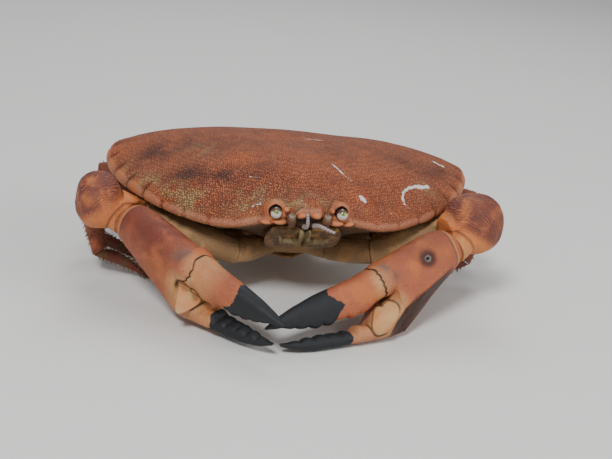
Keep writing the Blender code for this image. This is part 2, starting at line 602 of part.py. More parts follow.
def carpus(side, name, merus_end, out, wrist, fingers):
    """The wrist of a claw arm: rounded blocks between two joint faces."""
    centre = np.array(CLAW_CARPUS[side][0][0])
    faces = [(merus_end + out * GAP / 2, -out), (wrist - fingers * GAP / 2, fingers)]
    blocks = [ball(at, radii, 10, 16, WRIST_BLUNT) for at, radii in CLAW_CARPUS[side]]
    necks = []
    for face, normal in faces:
        inner = face + (centre - face) * NECK_REACH
        sections = [(*inner, *(NECK_RADIUS * NECK_FLARE,) * 4), (*face, *(NECK_RADIUS,) * 4)]
        axis = on_side(ARM_FORWARD, side)
        necks.append(skin_over(rings_along(sections, axis, CLAW_SIDES, end=normal)))
    for i, (face, normal) in enumerate(faces):
        for piece in (*blocks, necks[1 - i]):
            cut_flat(piece, face - normal * NECK_STEP, normal)
    fused(f"claw_{name}_carpus", [*blocks, *necks], "limb")


def face_parts():
    """Third maxillipeds, antennae and antennules."""
    for side, name in ((1, "left"), (-1, "right")):
        sections = [(*on_side(c, side), t, t, w, w) for c, w, t in MAXILLIPED]
        plate = skin_over(rings_along(sections, np.array([1.0, 0, 0]), 14, power=2.8))
        to_object(f"maxilliped_{name}", plate, "under")
        base = round_bar([on_side(p, side) for p, _ in ANTENNA_BASE], [r for _, r in ANTENNA_BASE], 12)
        shares = np.linspace(0, 1, 7)
        points = along(FEELER[side], shares)
        thick, thin = FEELER_RADIUS
        flagellum = round_bar(points, [thick + (thin - thick) * s for s in shares], 8)
        fused(f"antenna_{name}", [base, flagellum], "feeler")
        points = along(ANTENNULE[side], shares)
        thick, thin = ANTENNULE_RADIUS
        to_object(f"antennule_{name}",
                  round_bar(points, [thick + (thin - thick) * s for s in shares], 10), "feeler")


def centre_model():
    """Moves the finished model so that its box stands centred over the origin."""
    corners = [np.array(o.matrix_world @ v.co) for o in bpy.data.objects for v in o.data.vertices]
    low, high = np.min(corners, axis=0), np.max(corners, axis=0)
    shift = Matrix.Translation((-(low[0] + high[0]) / 2, -(low[1] + high[1]) / 2, -low[2]))
    for made in bpy.data.objects:
        made.data.transform(shift)


def main():
    for old in list(bpy.data.objects):
        bpy.data.objects.remove(old, do_unlink=True)
    carapace()
    eyes()
    thorax()
    abdomen()
    face_parts()
    for side, name in ((1, "left"), (-1, "right")):
        claw(side, name)
        for number in range(len(LEGS)):
            leg(number, side, f"leg_{name}_{number + 1}")
    centre_model()


main()
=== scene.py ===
"""A brown crab at rest: shell, claws, legs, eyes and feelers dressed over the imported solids.

Lengths below are in millimetres in the crab's own frame, which has its origin on the middle line
at the level of the ground, with +X to its left and -Y to its front.
"""

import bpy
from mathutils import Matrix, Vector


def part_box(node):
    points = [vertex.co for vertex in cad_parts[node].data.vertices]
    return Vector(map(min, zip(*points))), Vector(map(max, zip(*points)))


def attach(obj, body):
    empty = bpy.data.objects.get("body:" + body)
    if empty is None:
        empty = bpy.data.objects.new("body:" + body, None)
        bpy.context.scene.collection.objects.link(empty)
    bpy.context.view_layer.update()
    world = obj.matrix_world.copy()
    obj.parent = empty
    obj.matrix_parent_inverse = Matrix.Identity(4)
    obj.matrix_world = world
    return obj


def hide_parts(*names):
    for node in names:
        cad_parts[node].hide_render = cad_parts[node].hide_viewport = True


bl_info = {
    "name": "Brown Crab",
    "version": (1, 0, 0),
    "blender": (4, 5, 0),
    "location": "View3D > Sidebar > Crab",
    "description": "Builds a life-size brown crab, piece by piece",
    "category": "Add Mesh",
}

from math import cos, pi, radians, sin

import bmesh
import bpy
import numpy as np
from mathutils import Matrix, Vector
from mathutils.bvhtree import BVHTree

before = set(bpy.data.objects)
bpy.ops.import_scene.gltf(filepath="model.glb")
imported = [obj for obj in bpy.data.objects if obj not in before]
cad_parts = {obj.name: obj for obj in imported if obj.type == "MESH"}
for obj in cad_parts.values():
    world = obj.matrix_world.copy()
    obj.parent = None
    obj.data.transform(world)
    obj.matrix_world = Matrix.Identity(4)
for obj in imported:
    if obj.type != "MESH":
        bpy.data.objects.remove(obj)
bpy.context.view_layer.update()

MM = 0.001
SHELL_LOW, SHELL_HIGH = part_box("carapace")
SHELL_REAR = 47.5
# Where the crab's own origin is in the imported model, in metres.
ORIGIN = np.array([(SHELL_LOW[0] + SHELL_HIGH[0]) / 2, SHELL_HIGH[1] - SHELL_REAR * MM, 0.0])
SIDES = {"left": 1, "right": -1}

# Shell
TIP_HEIGHT, DOME, DOME_SPREAD, DOME_FALL = 50.0, 14.4, 2.2, 0.62
SHELL_CENTRE = (0.0, -5.0)
OUTLINE = [(0, -56.8), (9, -56.2), (18.5, -55), (30, -53.3), (45, -47), (60, -36.5), (72, -22),
           (79.3, -8), (82.0, 5), (80.0, 16), (72.5, 26), (59, 35), (45, 41.5), (30, 45.7),
           (15, 47.2), (0, 47.5)]
# The left side of the back falls, and the right rises, for each mm outward and each mm square
# behind the start.
TWIST, TWIST_START = 1.8e-5, -20.0
EDGE_HEIGHT = [(0, -1.8), (0.04, -2.3), (0.085, -5.0), (0.14, -7.6), (0.19, -8.2), (0.27, -6.6),
               (0.36, -4.2), (0.45, -2.0), (0.53, 0.0), (0.6, -0.2), (0.75, -2.5), (1, -3.6)]
FRONT_SHARE, LOBES, LOBES_END = 0.088, 10, 0.615
# Teeth of the brow and the hollows beside them: place outward, reach forward, half width.
FRONT_TEETH = [(0.0, 1.3, 1.2), (3.7, 1.9, 1.7), (7.6, -1.3, 1.6)]
NOTCH_FRONT, NOTCH_SIDE, NOTCH_WIDTH = 0.2, 2.5, 0.9
GROOVE_LENGTH = 7.0
EDGE_THICKNESS = 2.6
UNDER_X, UNDER_FRONT, UNDER_REAR, UNDER_Z = 36.0, -38.0, 40.0, 29.0
SWELLINGS = [(0, -22, 17, 14, 1.0), (0, 18, 12, 11, 0.8), (34, -20, 15, 13, 0.7),
             (38, 14, 20, 15, 0.9)]
SHELL_COLUMNS, SHELL_RINGS = 548, 158
# Rows of the shell from the middle of the back to the middle of the underside: what the row
# is, its value, and the share of the rings that come before it.
SHELL_ROWS = [("back", 0.0, 0.0), ("back", 0.12, 0.05), ("back", 0.25, 0.115),
              ("back", 0.38, 0.185),
              ("back", 0.5, 0.255), ("back", 0.6, 0.315), ("back", 0.7, 0.375),
              ("back", 0.79, 0.435), ("back", 0.86, 0.485), ("back", 0.91, 0.53),
              ("back", 0.945, 0.565), ("back", 0.97, 0.595), ("back", 0.985, 0.62),
              ("back", 0.994, 0.64), ("rim", 0.0, 0.68), ("under", 0.0, 0.72),
              ("under", 0.08, 0.745), ("under", 0.16, 0.77), ("under", 0.38, 0.82),
              ("under", 0.6, 0.86), ("under", 0.82, 0.9), ("under", 1.0, 0.93),
              ("floor", 0.5, 0.97), ("floor", 0.0, 1.0)]
# Chalky marks on the back, as strokes: points, half width. They stand a little proud.
CHALK_RISE = 0.14
CHALK = [([(56.2, -28.2), (53.4, -29.6), (50.8, -30.6)], 1.0),
         ([(50.8, -30.6), (47.0, -32.8)], 0.75),
         ([(47.0, -32.8), (43.9, -35.8), (42.7, -39.0), (43.2, -42.0)], 0.55),
         ([(43.2, -42.0), (45.0, -42.9)], 0.45), ([(55.6, -29.6), (54.2, -27.4)], 0.35),
         ([(13.2, -28.7), (15.0, -31.2), (17.0, -34.2)], 0.42), ([(17.0, -34.2), (20.3, -37.6)],
                                                                 0.15),
         ([(5.3, -1.0), (9, -2.3), (12.6, -3.1)], 0.42), ([(23.4, -45.2), (24.7, -46.0)], 1.15),
         ([(35.1, -45.4), (35.4, -45.8)], 0.3), ([(36.5, -47.6), (36.8, -48.1)], 0.3),
         ([(-23.6, -52.8), (-22.8, -51.0), (-21.6, -50.4), (-19.2, -50.4), (-19.3, -48.4)], 0.2),
         ([(64.4, -4.2), (66.4, -5.4), (68.8, -5.5)], 0.85), ([(-22.8, -36.4), (-17.9, -37.4)],
                                                              0.12)]
# Stained patches on the back: centre, reach along x and y, strength.
DARK_PATCHES = [(-48, -29, 9, 6, 1.0), (-34, -35, 9, 5, 0.9), (-63, -9, 13, 8, 0.55),
                (-48, -7, 16, 9, 0.5), (-25, -13, 14, 8, 0.35), (-17, -32, 9, 6, 0.4),
                (60, -16, 9, 8, 0.45), (46, -12, 12, 8, 0.35), (71, -13, 6, 6, 0.4),
                (17, -14, 16, 9, 0.3), (-3, -48, 14, 5, 0.3)]
WARM_PATCHES = [(-24, -26, 7, 5, 1.0), (-41, -38, 20, 5, 0.8), (-6, -36, 14, 9, 0.6),
                (14, -44, 16, 6, 0.5), (36, -30, 16, 9, 0.5), (-78, 2, 6, 8, 0.9),
                (-13, -18, 20, 8, 0.4)]
OLIVE_PATCHES = [(-72, -16, 5, 5, 0.8), (-64, -27, 5, 4, 0.9), (-55, -36, 6, 4, 0.9),
                 (-46, -42, 7, 4, 1.0), (-24, -46, 8, 4, 0.8), (-25, -52, 5, 3, 0.9),
                 (-9, -52, 8, 4, 0.7), (1, -54, 9, 3, 0.6), (55, -31, 5, 5, 0.5),
                 (-42, -13, 8, 6, 0.35)]
GRAINY_PATCHES = [(-43, -36, 26, 10, 1.0), (-27, -43, 26, 8, 0.8), (6, -45, 30, 10, 0.5),
                  (42, -38, 22, 10, 0.5)]

# Eyes
EYE, EYE_RADIUS = (13.6, -57.3, TIP_HEIGHT - 1.1), 2.4
SOCKET_RADIUS, SOCKET_DEPTH = 2.7, 10.4
ORBIT_RADIUS, ORBIT_SHIFT = 4.1, (0, 4.4, -0.3)
# Lobes of the brow and round the eyes, on the left: centre, reach along x, y and z.
FACE_LOBES = [((3.3, -57.5, 48.1), (2.1, 1.9, 1.25)), ((11.6, -56.2, 44.7), (3.0, 1.9, 1.25)),
              ((16.6, -55.2, 44.1), (2.7, 1.7, 1.0)), ((9.3, -56.8, 50.1), (1.2, 1.4, 1.0))]

FACE_ROUNDS = 4

# Mouth and feelers
FRINGE_COUNT = 300
FEELER_KNOB = (7.4, -60.4, 48.6)
# Bristles: width as a share of the length, how much one follows the skin's outward way and how
# it strays from it, and how deep its root lies and strays, in millimetres.
BRISTLE_WIDTH, STAND, STRAY, ROOT_DEPTH, ROOT_STRAY = 0.055, 0.75, 0.22, 0.1, 0.12

# Claws: middle of the wrist, direction of the fingers, direction of the upper edge, size, how
# much longer the palm and the fingers are than the plan, keyed by side.
CLAW_PLACE = {
    1: ((65.6, -48.3, 31.5), (-0.849, -0.424, -0.297), (-0.40, 0.20, 0.89), 0.976, 1.11, 1.0),
    -1: ((-73.2, -31.8, 33.8), (0.66, -0.694, -0.272), (0.083, -0.327, 0.941), 0.97, 1.19, 0.885),
}
HINGE = 34.5
WRIST_JOINT = {1: (65.5, -31.6, 35.4), -1: (-65.5, -24.6, 34.4)}
# On a claw's outer face, as (length from the wrist, height) in the claw's plan: the palm's edge
# over the finger's root, as (height, length).
LIP_EDGE = {1: [(-5, 37.4), (-4.2, 38.0), (0.9, 39.0), (8.0, 39.2), (10.0, 38.8), (11.6, 41.0)],
            -1: [(-3, 35.6), (-1.1, 36.2), (3.1, 39.6), (6.3, 41.2), (9.1, 40.6), (10.9, 38.4),
                 (12, 37.0)]}
LIP_OVERLAP, LIP_END, LIP_THICKNESS = 0.7, 43.0, 0.9
# The finger's root: middle height, and half its height and its width.
FINGER_MIDDLE, FINGER_ROOT = 4.1, (7.1, 8.4)
PALM_ROUNDS = 45
# Outline of the heart-shaped plate at the finger's root.
PLATES = {1: [(48.6, -7.6), (46.0, -5.2), (43.6, -4.2), (42.4, -5.3), (41.0, -4.4), (38.6, -4.0),
              (36.9, -5.4), (36.7, -7.6), (38.4, -10.6), (41.3, -13.2), (45.5, -15.6), (50.5,
                                                                                        -14.8),
              (51.4, -11.0)],
          -1: [(34.6, -2.6), (35.2, 0.2), (37.6, 1.4), (40.4, 0.6), (41.8, -1.2), (43.4, 0.4),
               (45.8, 0.8), (48.0, -0.8), (48.6, -3.6), (47.4, -7.4), (44.4, -10.6), (40.4, -9.6),
               (36.6, -6.6)]}
PLATE_RISE, PLATE_DEPTH, PLATE_ROUNDS = 0.8, 2.2, 40
OUTSIDE = 40.0  # further out than any part of a claw
TOOTH_START, TOOTH_SPACING, TOOTH_HEIGHT = 52.0, 5.8, 0.85
# Where the black of a finger starts: (height, length).
BLACK_EDGE = {(1, "moving"): [(-1, 62.8), (3.4, 59.0), (7.5, 61.0), (12, 61.6)],
              (1, "fixed"): [(-14, 61.5), (-10, 59.0)],
              (-1, "moving"): [(1.4, 62.0), (6.4, 66.0), (11, 65.4)], (-1, "fixed"): [(-14, 56.0),
                                                                                      (-9, 54.0)]}
PIT, GREY_SPOTS = (17.4, 4.8), {1: [(33.1, 4.4), (35.4, 9.6)], -1: [(33.6, 11.4), (31.2, 9.2)]}
# The keel along the left palm: (length, height). The palm is drawn in below it.
# Below it the left palm's colour is also darkened as painted shade.
KEEL = [(6, -3.6), (16.2, -5.2), (24.4, -6.9), (33.2, -8.7), (40.2, -12.6), (45, -17)]
KEEL_RISE, KEEL_DEPTH = 0.8, 2.6


class CrabShellSizes(bpy.types.PropertyGroup):
    """Sizes of the fine relief"""
    relief: bpy.props.FloatProperty(name="Relief", description="Height of the uneven back",
                                    default=0.00035, unit="LENGTH", subtype="DISTANCE")
    grain: bpy.props.FloatProperty(name="Grain spacing",
                                   description="From one grain of the shell to the next",
                                   default=0.0009, unit="LENGTH", subtype="DISTANCE")
    bristle: bpy.props.FloatProperty(name="Bristle length",
                                     description="Length of the bristles on the toes",
                                     default=0.0022, unit="LENGTH", subtype="DISTANCE")


def colour_property(name, description, default):
    return bpy.props.FloatVectorProperty(name=name, description=description, default=default,
                                         subtype="COLOR", size=3, min=0.0, max=1.0)


class CrabColours(bpy.types.PropertyGroup):
    """Colours of the crab and of the floor"""
    shell: colour_property("Shell", "Main colour of the back", (0.275, 0.088, 0.038))
    shell_warm: colour_property("Warm shell", "Orange-red parts of the back", (0.42, 0.115, 0.038))
    shell_dark: colour_property("Dark shell", "Brown-purple stains of the back",
                                (0.095, 0.032, 0.02))
    shell_olive: colour_property("Olive shell", "Greenish patches near the front",
                                 (0.31, 0.215, 0.095))
    rim: colour_property("Rim", "Smooth salmon edge of the shell", (0.47, 0.20, 0.12))
    # Painted shade in the edge's notches, under the brow, round the eye sockets and under lobes.
    groove: colour_property("Groove", "Bottom of the notches in the edge", (0.03, 0.012, 0.008))
    lobe: colour_property("Lobes", "Pink lobes of the brow and round the eyes",
                          (0.50, 0.175, 0.095))
    chalk: colour_property("Chalk", "White marks on the back", (0.72, 0.65, 0.60))
    claw: colour_property("Claw", "Main colour of the claws", (0.43, 0.13, 0.06))
    # Also used as painted shade over the right palm.
    claw_dark: colour_property("Dark claw", "Maroon upper parts of the claws", (0.16, 0.038, 0.024))
    cream: colour_property("Cream", "Cream plates and joints", (0.50, 0.29, 0.125))
    orange: colour_property("Orange", "Orange parts of the wrists and fingers", (0.56, 0.185, 0.05))
    purple: colour_property("Purple", "Purple-brown top of the wrists", (0.135, 0.042, 0.033))
    black: colour_property("Black", "Fingers' hard black ends", (0.013, 0.014, 0.016))
    # Partly darkened as painted shade of the underside.
    under: colour_property("Underside", "Breastplate, folded tail and arms", (0.33, 0.205, 0.095))
    # Darker than the plates' own olive-brown, as painted shade under the shell.
    mouth: colour_property("Mouth", "Olive-brown mouth plates", (0.17, 0.095, 0.036))
    leg: colour_property("Leg", "Walking legs", (0.23, 0.07, 0.038))
    bristle: colour_property("Bristle", "Bristles of the legs", (0.13, 0.07, 0.03))
    fringe: colour_property("Fringe", "Pale bristles of the mouth plates", (0.62, 0.50, 0.27))
    floor: colour_property("Floor", "Studio floor", (0.78, 0.77, 0.75))


def sizes():
    return bpy.context.scene.crab_sizes


def colours():
    return bpy.context.scene.crab_colours


# Working with pieces

def only(piece):
    """Leaves one piece selected and active."""
    bpy.ops.object.select_all(action="DESELECT")
    piece.select_set(True)
    bpy.context.view_layer.objects.active = piece


def points_of(piece):
    """A piece's points in the crab's own frame, in millimetres."""
    flat = np.empty(len(piece.data.vertices) * 3, np.float32)
    piece.data.vertices.foreach_get("co", flat)
    return (flat.reshape(-1, 3) - ORIGIN) / MM


def set_points(piece, points):
    flat = (np.asarray(points) * MM + ORIGIN).astype(np.float32)
    piece.data.vertices.foreach_set("co", flat.ravel())
    piece.data.update()


def normals_of(piece):
    flat = np.empty(len(piece.data.vertices) * 3, np.float32)
    piece.data.vertex_normals.foreach_get("vector", flat)
    return flat.reshape(-1, 3)


def paint(piece, name, values):
    """Keeps a number for each point of a piece, for its material to read."""
    layer = piece.data.attributes.new(name, "FLOAT", "POINT")
    layer.data.foreach_set("value", np.asarray(values, np.float32))


def in_place(point):
    """A point of the crab's own frame, in the scene's metres."""
    return Vector(np.asarray(point, float) * MM + ORIGIN)


def on_side(point, side):
    return (point[0] * side, *point[1:])


def primitive(kind, **settings):
    """Adds one of Blender's basic meshes, which is then alone selected."""
    bpy.ops.object.select_all(action="DESELECT")
    getattr(bpy.ops.mesh, f"primitive_{kind}_add")(**settings)
    return bpy.context.object


def apply_modifier(piece, kind, **settings):
    only(piece)
    modifier = piece.modifiers.new(kind.title(), kind)
    for key, value in settings.items():
        setattr(modifier, key, value)
    bpy.ops.object.modifier_apply(modifier=modifier.name)


def settle(piece):
    """Puts a piece's place into its mesh, with its object at the origin."""
    only(piece)
    bpy.ops.object.transform_apply(location=True, rotation=True, scale=True)


def outward_faces(piece, merge=None, quads=False):
    """Turns a closed mesh's faces outwards, once its doubled points are merged."""
    only(piece)
    bpy.ops.object.mode_set(mode="EDIT")
    bpy.ops.mesh.select_all(action="SELECT")
    if merge:
        bpy.ops.mesh.remove_doubles(threshold=merge)
    bpy.ops.mesh.normals_make_consistent(inside=False)
    if quads:
        bpy.ops.mesh.tris_convert_to_quads(face_threshold=radians(40), shape_threshold=radians(70))
    bpy.ops.object.mode_set(mode="OBJECT")


def even_out(piece, chosen, rounds):
    """Smooths the chosen points of a piece."""
    bm = bmesh.new()
    bm.from_mesh(piece.data)
    near = [vert for vert, take in zip(bm.verts, chosen) if take]
    for _ in range(rounds):
        bmesh.ops.smooth_vert(bm, verts=near, factor=0.5, use_axis_x=True, use_axis_y=True,
                              use_axis_z=True)
    bm.to_mesh(piece.data)
    bm.free()


def smooth(piece, angle=40):
    only(piece)
    bpy.ops.object.shade_smooth_by_angle(angle=radians(angle))


def finish_piece(piece, material, slot, *nodes):
    piece.data.materials.clear()
    piece.data.materials.append(material)
    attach(piece, "root")
    if nodes:
        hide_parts(*nodes)


def refined(node, name, levels=3, crease=0.75, sharp=50):
    """A smooth, finely divided copy of a solid, with its joint faces kept crisp."""
    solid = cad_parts[node]
    piece = bpy.data.objects.new(name, solid.data.copy())
    bpy.context.scene.collection.objects.link(piece)
    piece.data.name = name
    outward_faces(piece, merge=0.000004, quads=True)
    bm = bmesh.new()
    bm.from_mesh(piece.data)
    layer = bm.edges.layers.float.new("crease_edge")
    for edge in bm.edges:
        if len(edge.link_faces) == 2 and edge.calc_face_angle() > radians(sharp):
            edge[layer] = crease
        edge.smooth = True
    bm.to_mesh(piece.data)
    bm.free()
    apply_modifier(piece, "SUBSURF", levels=levels, render_levels=levels)
    return piece


def roughen(piece, strength, texture_name="soft_relief", size=0.008):
    """Uneven relief over a whole piece, from a cloud texture."""
    texture = bpy.data.textures.get(texture_name)
    if texture is None:
        texture = bpy.data.textures.new(texture_name, "CLOUDS")
        texture.noise_scale = size
        texture.noise_depth = 2
    apply_modifier(piece, "DISPLACE", texture=texture, strength=strength, mid_level=0.5,
                   texture_coords="LOCAL")


def dress(node, name, material, slot, relief=0.0003, levels=2, crease=0.75):
    """A refined and uneven copy of a solid that takes its place."""
    piece = refined(node, name, levels, crease)
    roughen(piece, relief)
    smooth(piece)
    finish_piece(piece, material, slot, node)
    return piece


def bump_at(points, centre, reach):
    """1 at a centre, falling smoothly to 0 with distance."""
    away = (points - np.asarray(centre, float)) / np.asarray(reach, float)
    return np.exp(-(away**2).sum(axis=1))


def bell(values, width):
    """1 at zero, falling smoothly to 0 within about two widths."""
    return np.exp(-(values / width) ** 2)


def step(values, low, high):
    """0 below low, 1 above high and smooth between."""
    share = np.clip((values - low) / (high - low), 0, 1)
    return share * share * (3 - 2 * share)


# Materials

class Shades:
    """Adds and joins the shader nodes of one material or node group."""

    def __init__(self, tree):
        self.tree = tree

    def node(self, kind, inputs=(), **settings):
        made = self.tree.nodes.new(kind)
        for key, value in settings.items():
            setattr(made, key, value)
        for key, value in dict(inputs).items():
            self.feed(made.inputs[key], value)
        return made

    def feed(self, socket, value):
        if isinstance(value, bpy.types.NodeSocket):
            self.tree.links.new(value, socket)
        elif hasattr(socket.default_value, "__len__"):
            value = tuple(value)
            socket.default_value = value + (1.0,) * (len(socket.default_value) - len(value))
        else:
            socket.default_value = value

    def place(self):
        return self.node("ShaderNodeTexCoord").outputs["Object"]

    def attribute(self, name):
        return self.node("ShaderNodeAttribute", attribute_name=name).outputs["Fac"]

    def maths(self, operation, a, b=0.0, clamp=False):
        made = self.node("ShaderNodeMath", {0: a, 1: b}, operation=operation, use_clamp=clamp)
        return made.outputs[0]

    def plus(self, a, b, clamp=False):
        return self.maths("ADD", a, b, clamp)

    def minus(self, a, b, clamp=False):
        return self.maths("SUBTRACT", a, b, clamp)

    def times(self, a, b, clamp=False):
        return self.maths("MULTIPLY", a, b, clamp)

    def mix(self, factor, a, b, blend="MIX"):
        made = self.node("ShaderNodeMix", data_type="RGBA", blend_type=blend)
        for socket, value in ((made.inputs[0], factor), (made.inputs[6], a), (made.inputs[7], b)):
            self.feed(socket, value)
        return made.outputs[2]

    def between(self, value, low, high):
        """Smoothly 0 to 1 as the value goes from low to high."""
        made = self.node("ShaderNodeMapRange", {"Value": value, "From Min": low, "From Max": high},
                         interpolation_type="SMOOTHSTEP")
        return made.outputs[0]

    def cloud(self, scale, detail=3.0, vector=None, distortion=0.0):
        made = self.node("ShaderNodeTexNoise", {"Vector": vector or self.place(), "Scale": scale,
                                                "Detail": detail, "Distortion": distortion})
        return made.outputs["Fac"]

    def group(self, name, inputs):
        made = self.tree.nodes.new("ShaderNodeGroup")
        made.node_tree = bpy.data.node_groups[name]
        for key, value in inputs.items():
            self.feed(made.inputs[key], value)
        return made.outputs


def new_group(name, inputs, outputs):
    """An empty shader node group with named sockets, and its nodes' helper."""
    tree = bpy.data.node_groups.new(name, "ShaderNodeTree")
    kinds = {"vector": "NodeSocketVector", "value": "NodeSocketFloat"}
    for direction, sockets in (("INPUT", inputs), ("OUTPUT", outputs)):
        for label, kind in sockets.items():
            tree.interface.new_socket(name=label, in_out=direction, socket_type=kinds[kind])
    shades = Shades(tree)
    return shades, shades.node("NodeGroupInput").outputs, shades.node("NodeGroupOutput").inputs


def make_groups():
    """Effects that several materials share."""
    if "shell_grains" in bpy.data.node_groups:
        return
    shades, given, out = new_group("shell_grains", {"Vector": "vector", "Spacing": "value"},
                                   {"Dots": "value", "Height": "value"})
    scale = shades.maths("DIVIDE", 1.0, given["Spacing"])
    wobble = shades.node("ShaderNodeTexNoise", {"Vector": given["Vector"], "Scale": 140.0,
                                                "Detail": 2.0})
    moved = shades.node("ShaderNodeVectorMath", {0: wobble.outputs["Color"], 1: (0.0012,) * 3},
                        operation="MULTIPLY")
    at = shades.node("ShaderNodeVectorMath", {0: given["Vector"], 1: moved.outputs[0]},
                     operation="ADD")
    cells = shades.node("ShaderNodeTexVoronoi",
                        {"Vector": at.outputs[0], "Scale": scale, "Randomness": 0.6}, feature="F1")
    away = cells.outputs["Distance"]
    shades.feed(out["Dots"], shades.between(away, 0.52, 0.22))
    fine = shades.node("ShaderNodeTexVoronoi", {"Vector": at.outputs[0],
                                                "Scale": shades.times(scale, 2.1)}, feature="F1")
    low = shades.times(shades.between(fine.outputs["Distance"], 0.7, 0.1), 0.35)
    shades.feed(out["Height"], shades.plus(shades.between(away, 0.65, 0.05), low))

    shades, given, out = new_group("stains", {"Vector": "vector", "Size": "value",
                                              "Amount": "value"},
                                   {"Mask": "value"})
    scale = shades.maths("DIVIDE", 1.0, given["Size"])
    broad = shades.cloud(scale, 4.0, given["Vector"], 0.6)
    level = shades.minus(1.0, given["Amount"])
    edge = shades.plus(level, 0.16)
    shades.feed(out["Mask"], shades.between(shades.plus(broad, 0.02), level, edge))

    shades, given, out = new_group("fine_wear", {"Vector": "vector"},
                                   {"Shade": "value", "Height": "value"})
    speckle = shades.cloud(900.0, 3.0, given["Vector"])
    broad = shades.cloud(160.0, 4.0, given["Vector"])
    shades.feed(out["Shade"], shades.plus(shades.times(speckle, 0.45), shades.times(broad, 0.55)))
    shades.feed(out["Height"], speckle)


def new_material(name):
    """An empty material, its nodes' helper and its shader."""
    make_groups()
    made = bpy.data.materials.new(name)
    made.use_nodes = True
    made.node_tree.nodes.clear()
    shades = Shades(made.node_tree)
    shader = shades.node("ShaderNodeBsdfPrincipled")
    shader.inputs["Specular IOR Level"].default_value = 0.3
    output = shades.node("ShaderNodeOutputMaterial")
    shades.tree.links.new(shader.outputs[0], output.inputs["Surface"])
    return made, shades, shader


def bumped(shades, shader, height, distance, strength=1.0):
    """Gives a shader fine relief from a height."""
    bump = shades.node("ShaderNodeBump", {"Height": height, "Distance": distance,
                                          "Strength": strength})
    shades.tree.links.new(bump.outputs["Normal"], shader.inputs["Normal"])


def shell_material():
    """The back's granular red-brown, its stains, edge, notches and chalk, and the side below."""
    made, shades, shader = new_material("granular_shell")
    tone = colours()
    at = shades.place()
    warm = shades.group("stains", {"Vector": at, "Size": 0.012, "Amount": 0.52})["Mask"]
    warm = shades.plus(shades.times(warm, 0.35), shades.times(shades.attribute("warm"), 0.75),
                       clamp=True)
    base = shades.mix(warm, tone.shell, tone.shell_warm)
    small = shades.group("stains", {"Vector": at, "Size": 0.006, "Amount": 0.5})["Mask"]
    base = shades.mix(shades.times(small, 0.45), base,
                      shades.mix(1.0, base, (0.66, 0.55, 0.55), "MULTIPLY"))
    broken = shades.between(shades.cloud(90.0, 5.0, at, 0.5), 0.3, 0.62)
    dark = shades.times(shades.times(shades.attribute("dark"), 1.35), broken, clamp=True)
    base = shades.mix(dark, base, tone.shell_dark)
    olive = shades.times(shades.attribute("olive"),
                         shades.between(shades.cloud(160.0, 5.0, at), 0.4, 0.6))
    base = shades.mix(olive, base, tone.shell_olive)
    rim, under, lobe = (shades.attribute(name) for name in ("rim", "under", "lobe"))
    base = shades.mix(shades.times(rim, 0.5), base, tone.rim)
    # The side below: pale near the edge at the sides, darker elsewhere as painted shade.
    beneath = shades.mix(shades.between(shades.cloud(210.0, 5.0, at, 0.4), 0.38, 0.66),
                         shades.mix(shades.attribute("pale"), (0.15, 0.085, 0.04), tone.cream),
                         shades.mix(1.0, tone.under, (0.55, 0.42, 0.35), "MULTIPLY"))
    base = shades.mix(under, base, beneath)
    grains = shades.group("shell_grains", {"Vector": at, "Spacing": sizes().grain})
    plain = shades.minus(1.0, shades.maths("MAXIMUM", shades.times(rim, 0.7), lobe), clamp=True)
    amount = shades.times(plain, shades.plus(0.6, shades.times(shades.attribute("grainy"), 0.4)))
    between_grains = shades.mix(1.0, base, (0.5, 0.4, 0.4), "MULTIPLY")
    on_grains = shades.mix(1.0, base, (1.95, 1.8, 1.65), "MULTIPLY")
    base = shades.mix(amount, base, shades.mix(grains["Dots"], between_grains, on_grains))
    base = shades.mix(shades.attribute("tip"), base, tone.orange)
    base = shades.mix(lobe, base, shades.mix(shades.cloud(300.0, 3.0, at), tone.orange, tone.lobe))
    # Painted shade: near black in the notches, under the brow and its lobes and round the eyes.
    base = shades.mix(shades.attribute("groove"), base, tone.groove)
    wobble = shades.times(shades.minus(shades.cloud(650.0, 4.0, at), 0.5), 1.7)
    chalk = shades.between(shades.plus(shades.attribute("chalk"), wobble), -0.12, 0.22)
    base = shades.mix(chalk, base, tone.chalk)
    shades.feed(shader.inputs["Base Color"], base)
    rough = shades.plus(0.46, shades.times(shades.cloud(220.0, 3.0, at), 0.25))
    shades.feed(shader.inputs["Roughness"], shades.plus(rough, shades.times(chalk, 0.3),
                                                        clamp=True))
    height = shades.plus(shades.times(grains["Height"], amount), shades.times(chalk, 0.6))
    bumped(shades, shader, height, 0.0005)
    return made


def limb_material(name, main, second, patch_size=0.02, amount=0.5, grain_depth=0.00022, rough=0.42,
                  grain_tint=0.6):
    """Horny limb skin in two tones with fine grains."""
    made, shades, shader = new_material(name)
    at = shades.place()
    mask = shades.group("stains", {"Vector": at, "Size": patch_size, "Amount": amount})["Mask"]
    base = shades.mix(mask, main, second)
    wear = shades.group("fine_wear", {"Vector": at})
    base = shades.mix(0.5, base, shades.mix(wear["Shade"], (0.25, 0.2, 0.2), (1.0, 0.95, 0.9)),
                      "OVERLAY")
    grains = shades.group("shell_grains", {"Vector": at, "Spacing": sizes().grain * 0.8})
    base = shades.mix(shades.times(shades.minus(1.0, grains["Dots"]), 1 - grain_tint), base,
                      shades.mix(1.0, base, (0.4, 0.33, 0.35), "MULTIPLY"))
    shades.feed(shader.inputs["Base Color"], base)
    shades.feed(shader.inputs["Roughness"], shades.plus(rough - 0.1,
                                                        shades.times(wear["Shade"], 0.25)))
    bumped(shades, shader, grains["Height"], grain_depth)
    return made


def worn(shades, at, base, amount=0.4):
    """The base colour with fine light and dark wear, and the wear itself."""
    wear = shades.group("fine_wear", {"Vector": at})
    veil = shades.mix(wear["Shade"], (0.22, 0.18, 0.18), (1.0, 0.95, 0.9))
    return shades.mix(amount, base, veil, "OVERLAY"), wear


